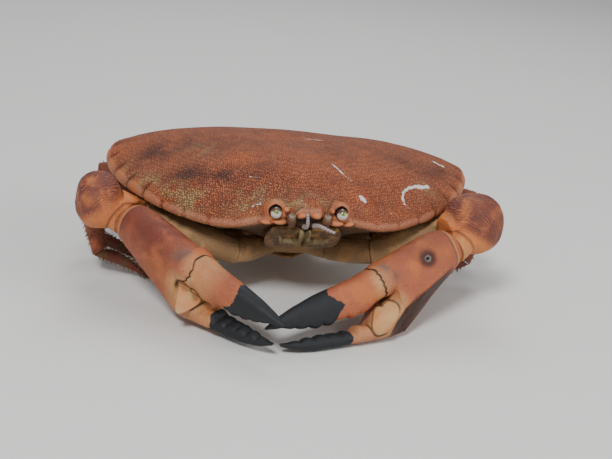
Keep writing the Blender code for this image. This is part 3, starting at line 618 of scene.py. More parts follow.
def claw_material(name):
    """Claw skin: red above, orange below, cream at the joints, black ends to the fingers."""
    made, shades, shader = new_material(name)
    tone = colours()
    at = shades.place()
    broken = shades.cloud(130.0, 4.0, at, 0.4)
    stain = shades.group("stains", {"Vector": at, "Size": 0.014, "Amount": 0.5})["Mask"]
    base = shades.mix(shades.times(stain, 0.55), tone.claw, tone.orange)
    # dusk: the claws' darker maroon tops, and over the right palm mostly painted shade.
    dusk = shades.times(shades.attribute("dusk"), shades.between(broken, 0.15, 0.6))
    base = shades.mix(dusk, base, tone.claw_dark)
    cream = shades.times(shades.attribute("cream"), shades.between(broken, 0.1, 0.55))
    base = shades.mix(cream, base, tone.cream)
    # keel: painted shade, near-black brown under the left palm's keel.
    base = shades.mix(shades.attribute("keel"), base, (0.045, 0.016, 0.009))
    base, wear = worn(shades, at, base)
    grains = shades.group("shell_grains", {"Vector": at, "Spacing": sizes().grain * 0.7})
    gaps = shades.times(shades.minus(1.0, grains["Dots"]), 0.28)
    base = shades.mix(gaps, base, shades.mix(1.0, base, (0.6, 0.5, 0.5), "MULTIPLY"))
    pores = shades.node("ShaderNodeTexVoronoi", {"Vector": at, "Scale": 260.0, "Randomness": 1.0})
    pore = shades.between(pores.outputs["Distance"], 0.11, 0.06)
    base = shades.mix(shades.times(pore, 0.6), base, tone.claw_dark)
    haze = shades.times(shades.attribute("grey"), shades.between(broken, 0.2, 0.5))
    base = shades.mix(shades.times(haze, 0.75), base, (0.15, 0.085, 0.07))
    shake = shades.minus(shades.cloud(420.0, 3.0, at), 0.5)
    away = shades.plus(shades.attribute("pit"), shades.times(shake, 1.2))
    base = shades.mix(shades.times(shades.between(away, 5.4, 2.2), 0.93), base, (0.06, 0.02, 0.018))
    away = shades.plus(shades.attribute("pit"), shades.times(shake, 0.5))
    base = shades.mix(shades.between(away, 1.6, 1.35), base, (0.17, 0.14, 0.125))
    base = shades.mix(shades.between(away, 0.95, 0.75), base, (0.008, 0.006, 0.006))
    ragged = shades.plus(shades.attribute("black"),
                         shades.times(shades.minus(shades.cloud(170.0, 4.0, at, 0.3), 0.5), 9.0))
    black = shades.between(ragged, -0.3, 0.5)
    dull = shades.mix(shades.cloud(420.0, 5.0, at), tone.black, (0.02, 0.022, 0.025))
    base = shades.mix(black, base, dull)
    base = shades.mix(shades.attribute("seam"), base, (0.022, 0.011, 0.007))
    shades.feed(shader.inputs["Base Color"], base)
    rough = shades.plus(0.36, shades.times(wear["Shade"], 0.28))
    shades.feed(shader.inputs["Roughness"], shades.plus(rough, shades.times(black, 0.1)))
    skin = shades.minus(1.0, shades.maths("MAXIMUM", black, cream), clamp=True)
    height = shades.plus(shades.times(grains["Height"], skin), shades.times(wear["Height"], 0.6))
    bumped(shades, shader, height, 0.0002)
    return made


def plate_material():
    """The smooth cream plates at the fingers' roots."""
    made, shades, shader = new_material("joint_plate")
    tone = colours()
    at = shades.place()
    base = shades.mix(shades.between(shades.cloud(110.0, 4.0, at, 0.4), 0.36, 0.8), tone.cream,
                      tone.orange)
    # border: the plate's dark joint line; along its right side it is painted shade.
    base = shades.mix(shades.attribute("border"), base, (0.13, 0.06, 0.03))
    base, wear = worn(shades, at, base, 0.35)
    pores = shades.node("ShaderNodeTexVoronoi", {"Vector": at, "Scale": 420.0, "Randomness": 1.0})
    pore = shades.between(pores.outputs["Distance"], 0.13, 0.07)
    base = shades.mix(shades.times(pore, 0.5), base, tone.claw_dark)
    shades.feed(shader.inputs["Base Color"], base)
    shades.feed(shader.inputs["Roughness"], shades.plus(0.38, shades.times(wear["Shade"], 0.25)))
    bumped(shades, shader, wear["Height"], 0.0001)
    return made


def wrist_material():
    """Orange wrist skin under a purple top with curved ridges."""
    made, shades, shader = new_material("wrist_skin")
    tone = colours()
    at = shades.place()
    arc = shades.plus(shades.attribute("arc"), shades.times(shades.cloud(150.0, 4.0, at), 4.6))
    wave = shades.maths("SINE", shades.times(arc, 2 * pi / 1.15))
    broken_up = shades.between(shades.cloud(330.0, 3.0, at), 0.36, 0.6)
    ridge = shades.times(shades.between(wave, -0.5, 0.9), broken_up)
    stain = shades.group("stains", {"Vector": at, "Size": 0.012, "Amount": 0.55})["Mask"]
    base = shades.mix(shades.times(stain, 0.5), tone.orange, tone.claw)
    dusk = shades.times(shades.attribute("dusk"),
                        shades.between(shades.cloud(120.0, 4.0, at, 0.5), 0.2, 0.55))
    base = shades.mix(dusk, base, shades.mix(ridge, tone.purple,
                                             shades.mix(0.6, tone.purple, tone.claw)))
    base = shades.mix(shades.attribute("cream"), base, tone.cream)
    base = shades.mix(shades.attribute("seam"), base, (0.05, 0.022, 0.013))
    base, wear = worn(shades, at, base)
    shades.feed(shader.inputs["Base Color"], base)
    shades.feed(shader.inputs["Roughness"], shades.plus(0.36, shades.times(wear["Shade"], 0.3)))
    grains = shades.group("shell_grains", {"Vector": at, "Spacing": sizes().grain * 0.8})
    height = shades.plus(shades.times(ridge, dusk), shades.times(grains["Height"], 0.4))
    bumped(shades, shader, height, 0.0004)
    return made


def eye_material():
    """Glossy silver eye with a brown top, a green gleam and painted socket shade at its rim."""
    made, shades, shader = new_material("eye_surface")
    up = shades.attribute("eye_up")
    ragged = shades.plus(up, shades.times(shades.minus(shades.cloud(900.0, 3.0), 0.5), 0.3))
    silver = shades.mix(shades.cloud(1100.0, 3.0), (0.34, 0.24, 0.16), (0.8, 0.76, 0.72))
    base = shades.mix(shades.between(ragged, 0.18, 0.55), silver, (0.13, 0.055, 0.03))
    base = shades.mix(shades.attribute("eye_spot"), base, (0.12, 0.2, 0.03))
    # Painted shade of the socket round the eye's rim.
    base = shades.mix(shades.attribute("eye_rim"), base, (0.02, 0.011, 0.008))
    shades.feed(shader.inputs["Base Color"], base)
    shader.inputs["Roughness"].default_value = 0.12
    shader.inputs["Specular IOR Level"].default_value = 0.5
    shader.inputs["Coat Weight"].default_value = 0.6
    shader.inputs["Coat Roughness"].default_value = 0.05
    facets = shades.node("ShaderNodeTexVoronoi", {"Vector": shades.place(), "Scale": 7000.0})
    bumped(shades, shader, facets.outputs["Distance"], 0.00003, 0.4)
    return made


def banded_material(name, main, second, spacing):
    """A feeler in short rings of two colours, which follow its length."""
    made, shades, shader = new_material(name)
    length = shades.attribute("length")
    ring = shades.maths("FRACT", shades.maths("DIVIDE", length, spacing))
    mask = shades.between(shades.maths("ABSOLUTE", shades.minus(ring, 0.5)), 0.12, 0.3)
    base, _ = worn(shades, shades.place(), shades.mix(mask, main, second))
    base = shades.mix(shades.attribute("pale"), base, (0.42, 0.36, 0.28))
    shades.feed(shader.inputs["Base Color"], base)
    shader.inputs["Roughness"].default_value = 0.4
    bumped(shades, shader, mask, 0.00012)
    return made


def floor_material():
    made, shades, shader = new_material("studio_floor")
    tone = colours().floor
    mottle = shades.cloud(9.0, 2.0)
    shades.feed(shader.inputs["Base Color"], shades.mix(mottle, tone, [c * 0.96 for c in tone]))
    shader.inputs["Roughness"].default_value = 0.85
    return made


# Bristles

def bristle_material(name, main, second):
    """Plain bristles in two tones."""
    made, shades, shader = new_material(name)
    shades.feed(shader.inputs["Base Color"], shades.mix(shades.cloud(500.0, 3.0), main, second))
    shader.inputs["Roughness"].default_value = 0.5
    return made


def pick(weights, count, seed):
    """The numbers of some points, drawn by weight."""
    weights = np.asarray(weights, float)
    draw = np.random.default_rng(seed)
    return draw.choice(len(weights), size=count, replace=False, p=weights / weights.sum())


def one_bristle():
    """Points and faces of one thin spike, 1 long, which is then copied."""
    cone = primitive("cone", vertices=3, radius1=BRISTLE_WIDTH, radius2=0.0, depth=1.0,
                     location=(0, 0, 0.5))
    settle(cone)
    points = np.array([vert.co for vert in cone.data.vertices])
    faces = [tuple(face.vertices) for face in cone.data.polygons]
    bpy.data.objects.remove(cone, do_unlink=True)
    return points, faces


def tufts(name, points, normals, chosen, lie, unwrap, material, slot, length, per_tuft=3):
    """Short tufts of bristles that stand on the chosen points and lean the way they lie."""
    spike, faces = one_bristle()
    draw = np.random.default_rng(len(chosen))
    places, corners, patch = [], [], []
    lie = np.broadcast_to(np.asarray(lie, float), points.shape)
    for index in chosen:
        for _ in range(per_tuft):
            way = normals[index] * STAND + lie[index] + draw.normal(0, STRAY, 3)
            way = way / np.linalg.norm(way)
            side = np.cross(way, (0.31, 0.87, 0.38))
            side = side / np.linalg.norm(side)
            turn = np.stack([side, np.cross(way, side), way])
            reach = length / MM * draw.uniform(0.6, 1.1)
            root = points[index] - normals[index] * ROOT_DEPTH + draw.normal(0, ROOT_STRAY, 3)
            first = len(places) * len(spike)
            places.append(root + (spike * (reach, reach, reach)) @ turn)
            corners += [tuple(first + i for i in face) for face in faces]
            patch += [unwrap[index]] * sum(len(face) for face in faces)
    mesh = bpy.data.meshes.new(name)
    mesh.from_pydata([tuple(p) for p in np.concatenate(places) * MM + ORIGIN], [], corners)
    layer = mesh.uv_layers.new(name="OFBake")
    ring = np.arange(len(patch)) * 2.1
    spread = np.stack([np.cos(ring), np.sin(ring)], axis=1) * 0.0015
    layer.data.foreach_set("uv", (np.array(patch) + spread).astype(np.float32).ravel())
    piece = bpy.data.objects.new(name, mesh)
    bpy.context.scene.collection.objects.link(piece)
    finish_piece(piece, material, slot)
    return piece


# Shell

def half_outline():
    """Dense points of the half outline and the share of its length at each."""
    keys = np.array(OUTLINE, float)
    steps = np.linalg.norm(np.diff(keys, axis=0), axis=1)
    knots = np.concatenate([[0], np.cumsum(steps)]) / steps.sum()
    slopes = np.gradient(keys, knots, axis=0)
    shares = np.linspace(0, 1, 1200)
    i, (start, leave, end, arrive) = curve_terms(knots, shares)
    points = start * keys[i] + leave * slopes[i] + end * keys[i + 1] + arrive * slopes[i + 1]
    run = np.concatenate([[0], np.cumsum(np.linalg.norm(np.diff(points, axis=0), axis=1))])
    return points, run / run[-1], run[-1]


def curve_terms(knots, shares):
    """For each share: its span, and the weights of the span's two ends and their slopes."""
    i = np.clip(np.searchsorted(knots, shares, side="right") - 1, 0, len(knots) - 2)
    h = (knots[i + 1] - knots[i])[:, None]
    u = (shares - knots[i])[:, None] / h
    return i, (2 * u**3 - 3 * u**2 + 1, (u**3 - 2 * u**2 + u) * h, -2 * u**3 + 3 * u**2,
               (u**3 - u**2) * h)


def lobe_width():
    """Share of the half outline that one lobe takes."""
    return (LOBES_END - FRONT_SHARE) / LOBES


def lobe_wave(shares):
    """0 in the notches of the edge and 1 in the middle of its lobes."""
    return 0.5 - 0.5 * np.cos(2 * pi * (shares - FRONT_SHARE) / lobe_width())


def notches(shares, length, width):
    """Depth of the edge's notches, in millimetres."""
    depth = np.zeros_like(shares)
    for n in range(LOBES + 1):
        away = (shares - FRONT_SHARE - n * lobe_width()) * length
        grown = NOTCH_FRONT + (NOTCH_SIDE - NOTCH_FRONT) * (n / LOBES) ** 1.5
        depth += grown * bell(away, width)
    return depth


def edge_height(shares, points, side):
    """Height of the edge over the shell's corners."""
    turned = TWIST * np.abs(points[:, 0]) * np.maximum(points[:, 1] - TWIST_START, 0) ** 2
    return np.interp(shares, *zip(*EDGE_HEIGHT)) - side * turned


def back_height(points, reach, edge):
    """Height of the back: the dome and its swellings, at shares of the way to the edge."""
    height = TIP_HEIGHT + edge * reach**2 + DOME * (1 - reach**DOME_SPREAD) ** DOME_FALL
    for cx, cy, rx, ry, rise in SWELLINGS:
        height = height + rise * np.exp(-((np.abs(points[:, 0]) - cx) / rx) ** 2
                                        - ((points[:, 1] - cy) / ry) ** 2)
    return height


def spread_shares(around):
    """Shares of the half outline for shares of a turn, drawn closer together at the notches."""
    half = 1 - np.abs(around * 2 - 1)
    lobe = (half - FRONT_SHARE) / lobe_width()
    inside = step(half, FRONT_SHARE, FRONT_SHARE + 0.03) * step(half, LOBES_END, LOBES_END - 0.03)
    return half - inside * lobe_width() * 0.09 * np.sin(2 * pi * lobe)


def shape_shell(piece):
    """Moves the points of a ball to the shell's form; gives what each point is."""
    ball_points = points_of(piece)
    ball_points = ball_points / np.linalg.norm(ball_points, axis=1)[:, None]
    around = (np.arctan2(ball_points[:, 1], ball_points[:, 0]) / (2 * pi) + 0.25) % 1.0
    down = np.arccos(np.clip(ball_points[:, 2], -1, 1)) / pi
    side = np.where(around > 0.5, -1.0, 1.0)
    share = spread_shares(around)
    outline, run, length = half_outline()
    edge_points = np.stack([np.interp(share, run, outline[:, k]) for k in (0, 1)], axis=1)
    middle = np.array(SHELL_CENTRE)
    inward = middle - edge_points
    radius = np.linalg.norm(inward, axis=1)
    inward = inward / radius[:, None]
    edge = edge_height(share, edge_points, side)
    cut = np.where(share > FRONT_SHARE / 2, notches(share, length, NOTCH_WIDTH), 0.0)
    teeth = sum(reach * bell(edge_points[:, 0] - at, width)
                for at, reach, width in FRONT_TEETH)
    pulled = cut - np.where(edge_points[:, 1] < 0, teeth, 0.0)
    waves = lobe_wave(share) * step(share, 0.16, 0.34) * step(share, LOBES_END + 0.01,
                                                              LOBES_END - 0.01)

    def row(kind, value):
        made = np.empty((len(share), 3))
        if kind == "back":
            inset = (1 - value) * radius
            fade = step(inset, GROOVE_LENGTH * 0.7, 0.0)
            made[:, :2] = (middle + (edge_points - middle) * value
                           + inward * (pulled * fade)[:, None])
            swell = 0.55 * waves * step(inset, GROOVE_LENGTH, 1.5)
            groove = 0.42 * np.maximum(cut, 0) * step(inset, GROOVE_LENGTH, 2.0)
            made[:, 2] = back_height(made, value, edge) + swell - groove
        elif kind == "rim":
            made[:, :2] = edge_points + inward * pulled[:, None]
            made[:, 2] = TIP_HEIGHT + edge - 0.9
        elif kind == "under":
            turn = np.arctan2(edge_points[:, 1] - middle[1], edge_points[:, 0])
            reach_y = np.where(turn < 0, UNDER_FRONT, UNDER_REAR) - middle[1]
            narrow = np.where(turn < 0, 0.35, 0.0)
            cosine, sine = np.cos(turn), np.sin(turn)
            inner = np.stack([UNDER_X * cosine * np.abs(cosine) ** narrow,
                              middle[1] + np.abs(reach_y) * sine * np.abs(sine) ** narrow],
                             axis=1)
            bulge = 0.9 + 0.55 * np.abs(np.cos(turn))
            tucked = (1.2 + np.maximum(pulled, 0)) * (1 - value)
            made[:, :2] = (edge_points + inward * tucked[:, None]
                           + (inner - edge_points) * value)
            top = TIP_HEIGHT + edge - EDGE_THICKNESS
            made[:, 2] = top + (UNDER_Z - top) * value**bulge
        else:
            made = row("under", 1.0)
            made[:, :2] = middle + (made[:, :2] - middle) * value
        return made

    keys = np.stack([row(kind, value) for kind, value, _ in SHELL_ROWS])
    knots = np.array([at for _, _, at in SHELL_ROWS])
    slopes = np.gradient(keys, knots, axis=0)
    i, (start, leave, end, arrive) = curve_terms(knots, down)
    n = np.arange(len(down))
    points = (start * keys[i, n] + leave * slopes[i, n]
              + end * keys[i + 1, n] + arrive * slopes[i + 1, n])
    points[:, 0] *= side
    set_points(piece, points)
    outward_faces(piece, merge=0.00001)


def inside_strokes(points, strokes):
    """How far inside the nearest stroke each point is, in millimetres, seen from above."""
    inside = np.full(len(points), -9.0)
    for line, half_width in strokes:
        line = np.array(line, float)
        for a, b in zip(line, line[1:]):
            along = b - a
            share = np.clip(((points[:, :2] - a) @ along) / (along @ along), 0, 1)
            away = np.linalg.norm(points[:, :2] - (a + share[:, None] * along), axis=1)
            inside = np.maximum(inside, half_width - away)
    return inside


def patches(points, table):
    """How strongly each point is stained by a table of soft patches, 0 to 1."""
    total = np.zeros(len(points))
    for x, y, rx, ry, strength in table:
        total += strength * np.exp(-((points[:, 0] - x) / rx) ** 2 - ((points[:, 1] - y) / ry) ** 2)
    return np.clip(total, 0, 1)


def lobe_ball(centre, reach):
    """A ball of the given reaches, to be joined to the shell."""
    ball = primitive("uv_sphere", segments=36, ring_count=20, radius=MM, location=in_place(centre))
    ball.scale = reach
    return ball


def eye_holes(piece):
    """Raises the rings and lobes round the eyes and on the brow, and hollows the eyes' sockets."""
    for side in SIDES.values():
        eye = np.array(on_side(EYE, side))
        lobes = [(eye + ORBIT_SHIFT, (ORBIT_RADIUS,) * 3)]
        lobes += [(on_side(centre, side), reach) for centre, reach in FACE_LOBES]
        for centre, reach in lobes:
            ball = lobe_ball(centre, reach)
            apply_modifier(piece, "BOOLEAN", operation="UNION", object=ball, solver="MANIFOLD")
            bpy.data.objects.remove(ball, do_unlink=True)
        hollow = primitive("cylinder", vertices=48, radius=SOCKET_RADIUS * MM,
                           depth=SOCKET_DEPTH * MM, location=in_place(eye + (0, -0.8, 0)),
                           rotation=(radians(90), 0, 0))
        apply_modifier(piece, "BOOLEAN", operation="DIFFERENCE", object=hollow, solver="MANIFOLD")
        bpy.data.objects.remove(hollow, do_unlink=True)
    points = points_of(piece)
    face = (np.abs(points[:, 0]) < 22) & (points[:, 1] < -48) & (points[:, 2] > 41)
    for side in SIDES.values():
        away = points - np.array(on_side(EYE, side))
        face &= np.hypot(away[:, 0], away[:, 2]) > SOCKET_RADIUS - 0.1
    even_out(piece, face, FACE_ROUNDS)


def shell_masks(piece):
    """Paints what the shell's material needs, and raises the chalky marks."""
    points = points_of(piece)
    outline, run, length = half_outline()
    middle = np.array(SHELL_CENTRE)
    flat = np.stack([np.abs(points[:, 0]), points[:, 1]], axis=1)
    edge_turn = np.arctan2(outline[:, 1] - middle[1], outline[:, 0])
    turn = np.arctan2(flat[:, 1] - middle[1], flat[:, 0])
    share = np.interp(turn, edge_turn, run)
    edge_points = np.stack([np.interp(share, run, outline[:, k]) for k in (0, 1)], axis=1)
    inset = np.linalg.norm(edge_points - middle, axis=1) - np.linalg.norm(flat - middle, axis=1)
    below = TIP_HEIGHT + edge_height(share, edge_points, np.sign(points[:, 0])) - points[:, 2]
    under = step(below, 1.2, 2.6)
    band = 0.15 + 1.3 * step(share, 0.25, 0.45)
    rim = step(inset, band + 0.8, band * 0.5)
    lobe = np.zeros(len(points))
    # Painted shade: hollow under the brow, round the eye sockets, lines under and between lobes.
    hollow = bump_at(points, (0, -56.5, 45.2), (8.5, 4.0, 2.9))
    line = np.zeros(len(points))
    for side in SIDES.values():
        eye = np.array(on_side(EYE, side))
        for centre, reach in FACE_LOBES:
            near = np.linalg.norm((points - np.array(on_side(centre, side))) / np.array(reach),
                                  axis=1)
            lobe = np.maximum(lobe, step(near, 1.3, 1.0))
            lower = step(points[:, 2] - centre[2], 0.9, -0.2)
            line = np.maximum(line, bell(near - 1.3, 0.14) * lower)
        away = points - eye
        round_eye = np.hypot(away[:, 0], away[:, 2])
        ring = step(round_eye, 4.7, 3.6) * step(away[:, 1], 8.0, 5.0)
        lobe = np.maximum(lobe, 0.6 * ring) * step(round_eye, SOCKET_RADIUS - 0.1,
                                                   SOCKET_RADIUS + 0.25)
        hollow = np.maximum(hollow, step(round_eye, SOCKET_RADIUS + 0.25, SOCKET_RADIUS - 0.1)
                            * step(away[:, 1], 9.0, 7.0))
    line = np.maximum(line, bell(points[:, 0], 0.5) * bump_at(points, (0, -58, 47.5),
                                                                         (3, 5, 3)))
    # Painted shade at the bottoms of the edge's notches, joined to the hollows' and lines'.
    narrow = notches(share, length, 0.7) / NOTCH_SIDE
    groove = np.clip(narrow * 1.6, 0, 1) * step(inset, GROOVE_LENGTH, 2.5) * step(share, 0.26, 0.38)
    groove = groove * np.where(share > FRONT_SHARE * 1.4, 1 - under, 1.0)
    groove = np.maximum(groove, np.clip(step(hollow, 0.25, 0.7) * (1 - lobe) + 0.75 * line, 0, 1))
    tip = step(inset, 3.4, 1.0) * step(lobe_wave(share), 0.3, 0.9) * step(share, 0.3,
                                                                          0.4) * (1 - under)
    chalk = inside_strokes(points, CHALK) - 9 * under
    paint(piece, "under", under)
    # pale: the underside near the edge at the sides; the rest is darkened as painted shade.
    paint(piece, "pale", step(np.abs(points[:, 0]), 26, 44) * step(below, 16, 9))
    paint(piece, "rim", np.clip(rim * (1 - lobe), 0, 1))
    paint(piece, "lobe", lobe)
    paint(piece, "tip", tip * 0.45 * step(share, LOBES_END + 0.02, LOBES_END - 0.02))
    paint(piece, "groove", groove)
    paint(piece, "chalk", chalk)
    for name, table in (("dark", DARK_PATCHES), ("warm", WARM_PATCHES), ("olive", OLIVE_PATCHES),
                        ("grainy", GRAINY_PATCHES)):
        paint(piece, name, patches(points, table))
    raised = step(chalk, -0.3, 0.3) * CHALK_RISE
    set_points(piece, points + normals_of(piece) * raised[:, None])


class CRAB_OT_shell(bpy.types.Operator):
    """Build the domed shell with its lobed edge and eye sockets"""
    bl_idname = "crab.shell"
    bl_label = "Shell"

    def execute(self, context):
        piece = primitive("uv_sphere", segments=SHELL_COLUMNS, ring_count=SHELL_RINGS, radius=0.05,
                          location=ORIGIN)
        piece.name = "shell"
        settle(piece)
        shape_shell(piece)
        eye_holes(piece)
        roughen(piece, sizes().relief, "uneven_back", 0.011)
        shell_masks(piece)
        smooth(piece, 60)
        finish_piece(piece, shell_material(), "shell", "carapace")
        return {"FINISHED"}


class CRAB_OT_underside(bpy.types.Operator):
    """Build the breastplate and the folded tail"""
    bl_idname = "crab.underside"
    bl_label = "Underside"

    def execute(self, context):
        tone = colours()
        skin = limb_material("underside_plate", tone.under, tone.cream, 0.014, 0.5, 0.0001, 0.4,
                             0.75)
        for node, name, crease in (("thorax", "breastplate", 0.75),
                                   ("abdomen", "folded_tail", 0.3)):
            dress(node, name, skin, "underside", crease=crease)
        return {"FINISHED"}


class CRAB_OT_eyes(bpy.types.Operator):
    """Build the glossy eyes on their stalks"""
    bl_idname = "crab.eyes"
    bl_label = "Eyes"

    def execute(self, context):
        tone = colours()
        glossy = eye_material()
        stalk = limb_material("stalk_skin", tone.rim, tone.claw_dark, 0.002, 0.4, 0.00005, 0.4, 0.9)
        for name, side in SIDES.items():
            eye = np.array(on_side(EYE, side))
            piece = primitive("uv_sphere", segments=64, ring_count=40, radius=EYE_RADIUS * MM,
                              location=in_place(eye))
            piece.name = f"eyeball_{name}"
            settle(piece)
            points = points_of(piece)
            local = (points - eye) / EYE_RADIUS
            squash = 1 - 0.12 * step(local[:, 1], 0.2, 1.0)
            set_points(piece, eye + local * EYE_RADIUS * squash[:, None])
            paint(piece, "eye_up", local[:, 2])
            spot = np.linalg.norm(local - np.array([0.04, -0.88, 0.46]), axis=1)
            paint(piece, "eye_spot", step(spot, 0.46, 0.34))
            # Painted shade where the socket hides the eye's rim.
            paint(piece, "eye_rim", step(np.hypot(local[:, 0], local[:, 2]), 0.88, 0.98))
            smooth(piece, 80)
            finish_piece(piece, glossy, "eye", f"eye_{name}")
            piece = refined(f"eyestalk_{name}", f"stalk_{name}", 2)
            smooth(piece)
            finish_piece(piece, stalk, "stalk", f"eyestalk_{name}")
        return {"FINISHED"}


class CRAB_OT_mouth(bpy.types.Operator):
    """Build the outer mouth plates"""
    bl_idname = "crab.mouth"
    bl_label = "Mouth plates"

    def execute(self, context):
        tone = colours()
        # The mouth plates' colour is partly painted shade.
        plate = limb_material("mouth_plate", tone.mouth, [c * 2.5 for c in tone.mouth], 0.004, 0.5,
                              0.0003, 0.4, 0.7)
        hair = bristle_material("mouth_fringe", tone.fringe, tone.mouth)
        for number, (name, side) in enumerate(SIDES.items()):
            piece = dress(f"maxilliped_{name}", f"mouth_plate_{name}", plate, "mouthparts", 0.0006,
                          3)
            points, normals = points_of(piece), normals_of(piece)
            across = points[:, 0] * side
            front = step(normals[:, 1], 0.1, -0.3)
            inner = step(across, 2.6, 1.6) * step(points[:, 2], 29, 32)
            cross = bell(points[:, 2] - 33.4 - 0.1 * across, 0.7)
            cross = cross * step(np.abs(points[:, 0]), 11.0, 9.0)
            weights = np.maximum(inner * 0.5, cross) * front + inner * 0.2
            chosen = pick(weights, FRINGE_COUNT, 11 + number)
            unwrap = np.stack([0.25 + number * 0.5 + across * 0.012, points[:, 2] / 60], axis=1)
            tufts(f"fringe_{name}", points, normals, chosen, (0, -0.25, -0.9), unwrap, hair,
                  "mouthparts", sizes().bristle * 1.1)
        return {"FINISHED"}


class CRAB_OT_feelers(bpy.types.Operator):
    """Build the antennae and the smaller inner feelers"""
    bl_idname = "crab.feelers"
    bl_label = "Feelers"

    def execute(self, context):
        tone = colours()
        long_skin = banded_material("long_feeler", (0.07, 0.032, 0.02), (0.16, 0.075, 0.04), 0.0007)
        short_skin = banded_material("short_feeler", (0.40, 0.34, 0.32), (0.23, 0.18, 0.18), 0.0009)
        for name in SIDES:
            for node, skin in ((f"antenna_{name}", long_skin), (f"antennule_{name}", short_skin)):
                piece = refined(node, f"feeler_{node}", 2)
                points = points_of(piece)
                knob = np.array(on_side(FEELER_KNOB, SIDES[name]))
                near = 0.5 * np.exp(-(np.linalg.norm(points - knob, axis=1) / 1.2) ** 2)
                paint(piece, "pale", near if skin is long_skin else np.zeros(len(points)))
                start = points[np.argmax(points[:, 1])]
                paint(piece, "length", np.linalg.norm(points - start, axis=1) * MM)
                smooth(piece)
                finish_piece(piece, skin, "feeler", node)
        return {"FINISHED"}


def claw_axes(side):
    """A claw's directions along the fingers, up and across."""
    fingers, upper = (np.array(way) for way in CLAW_PLACE[side][1:3])
    fingers = fingers / np.linalg.norm(fingers)
    upper = upper - fingers * (upper @ fingers)
    upper = upper / np.linalg.norm(upper)
    return fingers, upper, np.cross(fingers, upper)


def claw_plan(points, side):
    """Places on a claw: length from the wrist, upward and outward, in its plan's millimetres."""
    wrist, _, _, size, palm_length, finger_length = CLAW_PLACE[side]
    fingers, upper, wide = claw_axes(side)
    local = (points - np.array(wrist)) / size
    length = local @ fingers
    palm = HINGE * palm_length
    length = np.where(length < palm, length / palm_length, HINGE + (length - palm) / finger_length)
    return np.stack([length, local @ upper, local @ wide * -side], axis=1)


def claw_point(plan, side):
    """The opposite of claw_plan."""
    wrist, _, _, size, palm_length, finger_length = CLAW_PLACE[side]
    fingers, upper, wide = claw_axes(side)
    length, up, out = plan.T
    length = np.minimum(length, HINGE) * palm_length + np.maximum(length - HINGE, 0) * finger_length
    local = length[:, None] * fingers + up[:, None] * upper - (out * side)[:, None] * wide
    return np.array(wrist) + size * local


def lip_edge(up, side):
    """Length at which the palm's skin ends over the finger's root, a little uneven."""
    return np.interp(up,
                     *zip(*LIP_EDGE[side])) + 0.22 * np.sin(2.3 * up) + 0.14 * np.sin(5.1 * up + 1)


def toothed(plan, biting):
    """Rounded teeth along a finger's biting edge: 1 for its upper edge, -1 for its lower one."""
    length, up, out = plan.T
    rows = np.clip(length, 0, 99).astype(int)
    edges = np.full((2, 100), np.nan)
    for row in np.unique(rows):
        edges[:, row] = up[rows == row].min(), up[rows == row].max()
    known = ~np.isnan(edges[0])
    low, high = (np.interp(length, np.arange(100)[known] + 0.5, edge[known]) for edge in edges)
    share = (up - low) / np.maximum(high - low, 0.1)
    weight = step(share if biting > 0 else 1 - share, 0.62, 0.97)
    wave = np.abs(np.sin(pi * (length - TOOTH_START) / TOOTH_SPACING)) ** 0.8
    reach = step(length, TOOTH_START - 1, TOOTH_START + 4) * step(length, 90, 78)
    return np.stack([length, up + biting * TOOTH_HEIGHT * wave * weight * reach, out], axis=1)


def rounded_outline(corners):
    """A closed line through corners, with each corner cut twice."""
    line = np.array(corners, float)
    for _ in range(2):
        following = np.roll(line, -1, axis=0)
        line = np.stack([line * 0.75 + following * 0.25, line * 0.25 + following * 0.75],
                        axis=1).reshape(-1, 2)
    return line


def inside_outline(points, outline):
    """How far inside a closed line each point is, in millimetres; outside is negative."""
    away = np.full(len(points), 99.0)
    crossed = np.zeros(len(points), bool)
    for a, b in zip(outline, np.roll(outline, -1, axis=0)):
        along = b - a
        share = np.clip(((points - a) @ along) / (along @ along), 0, 1)
        away = np.minimum(away, np.linalg.norm(points - (a + share[:, None] * along), axis=1))
        spans = (a[1] > points[:, 1]) != (b[1] > points[:, 1])
        rise = along[1] if along[1] else 1e-9
        crossed ^= spans & (points[:, 0] < a[0] + (points[:, 1] - a[1]) * along[0] / rise)
    return np.where(crossed, away, -away)


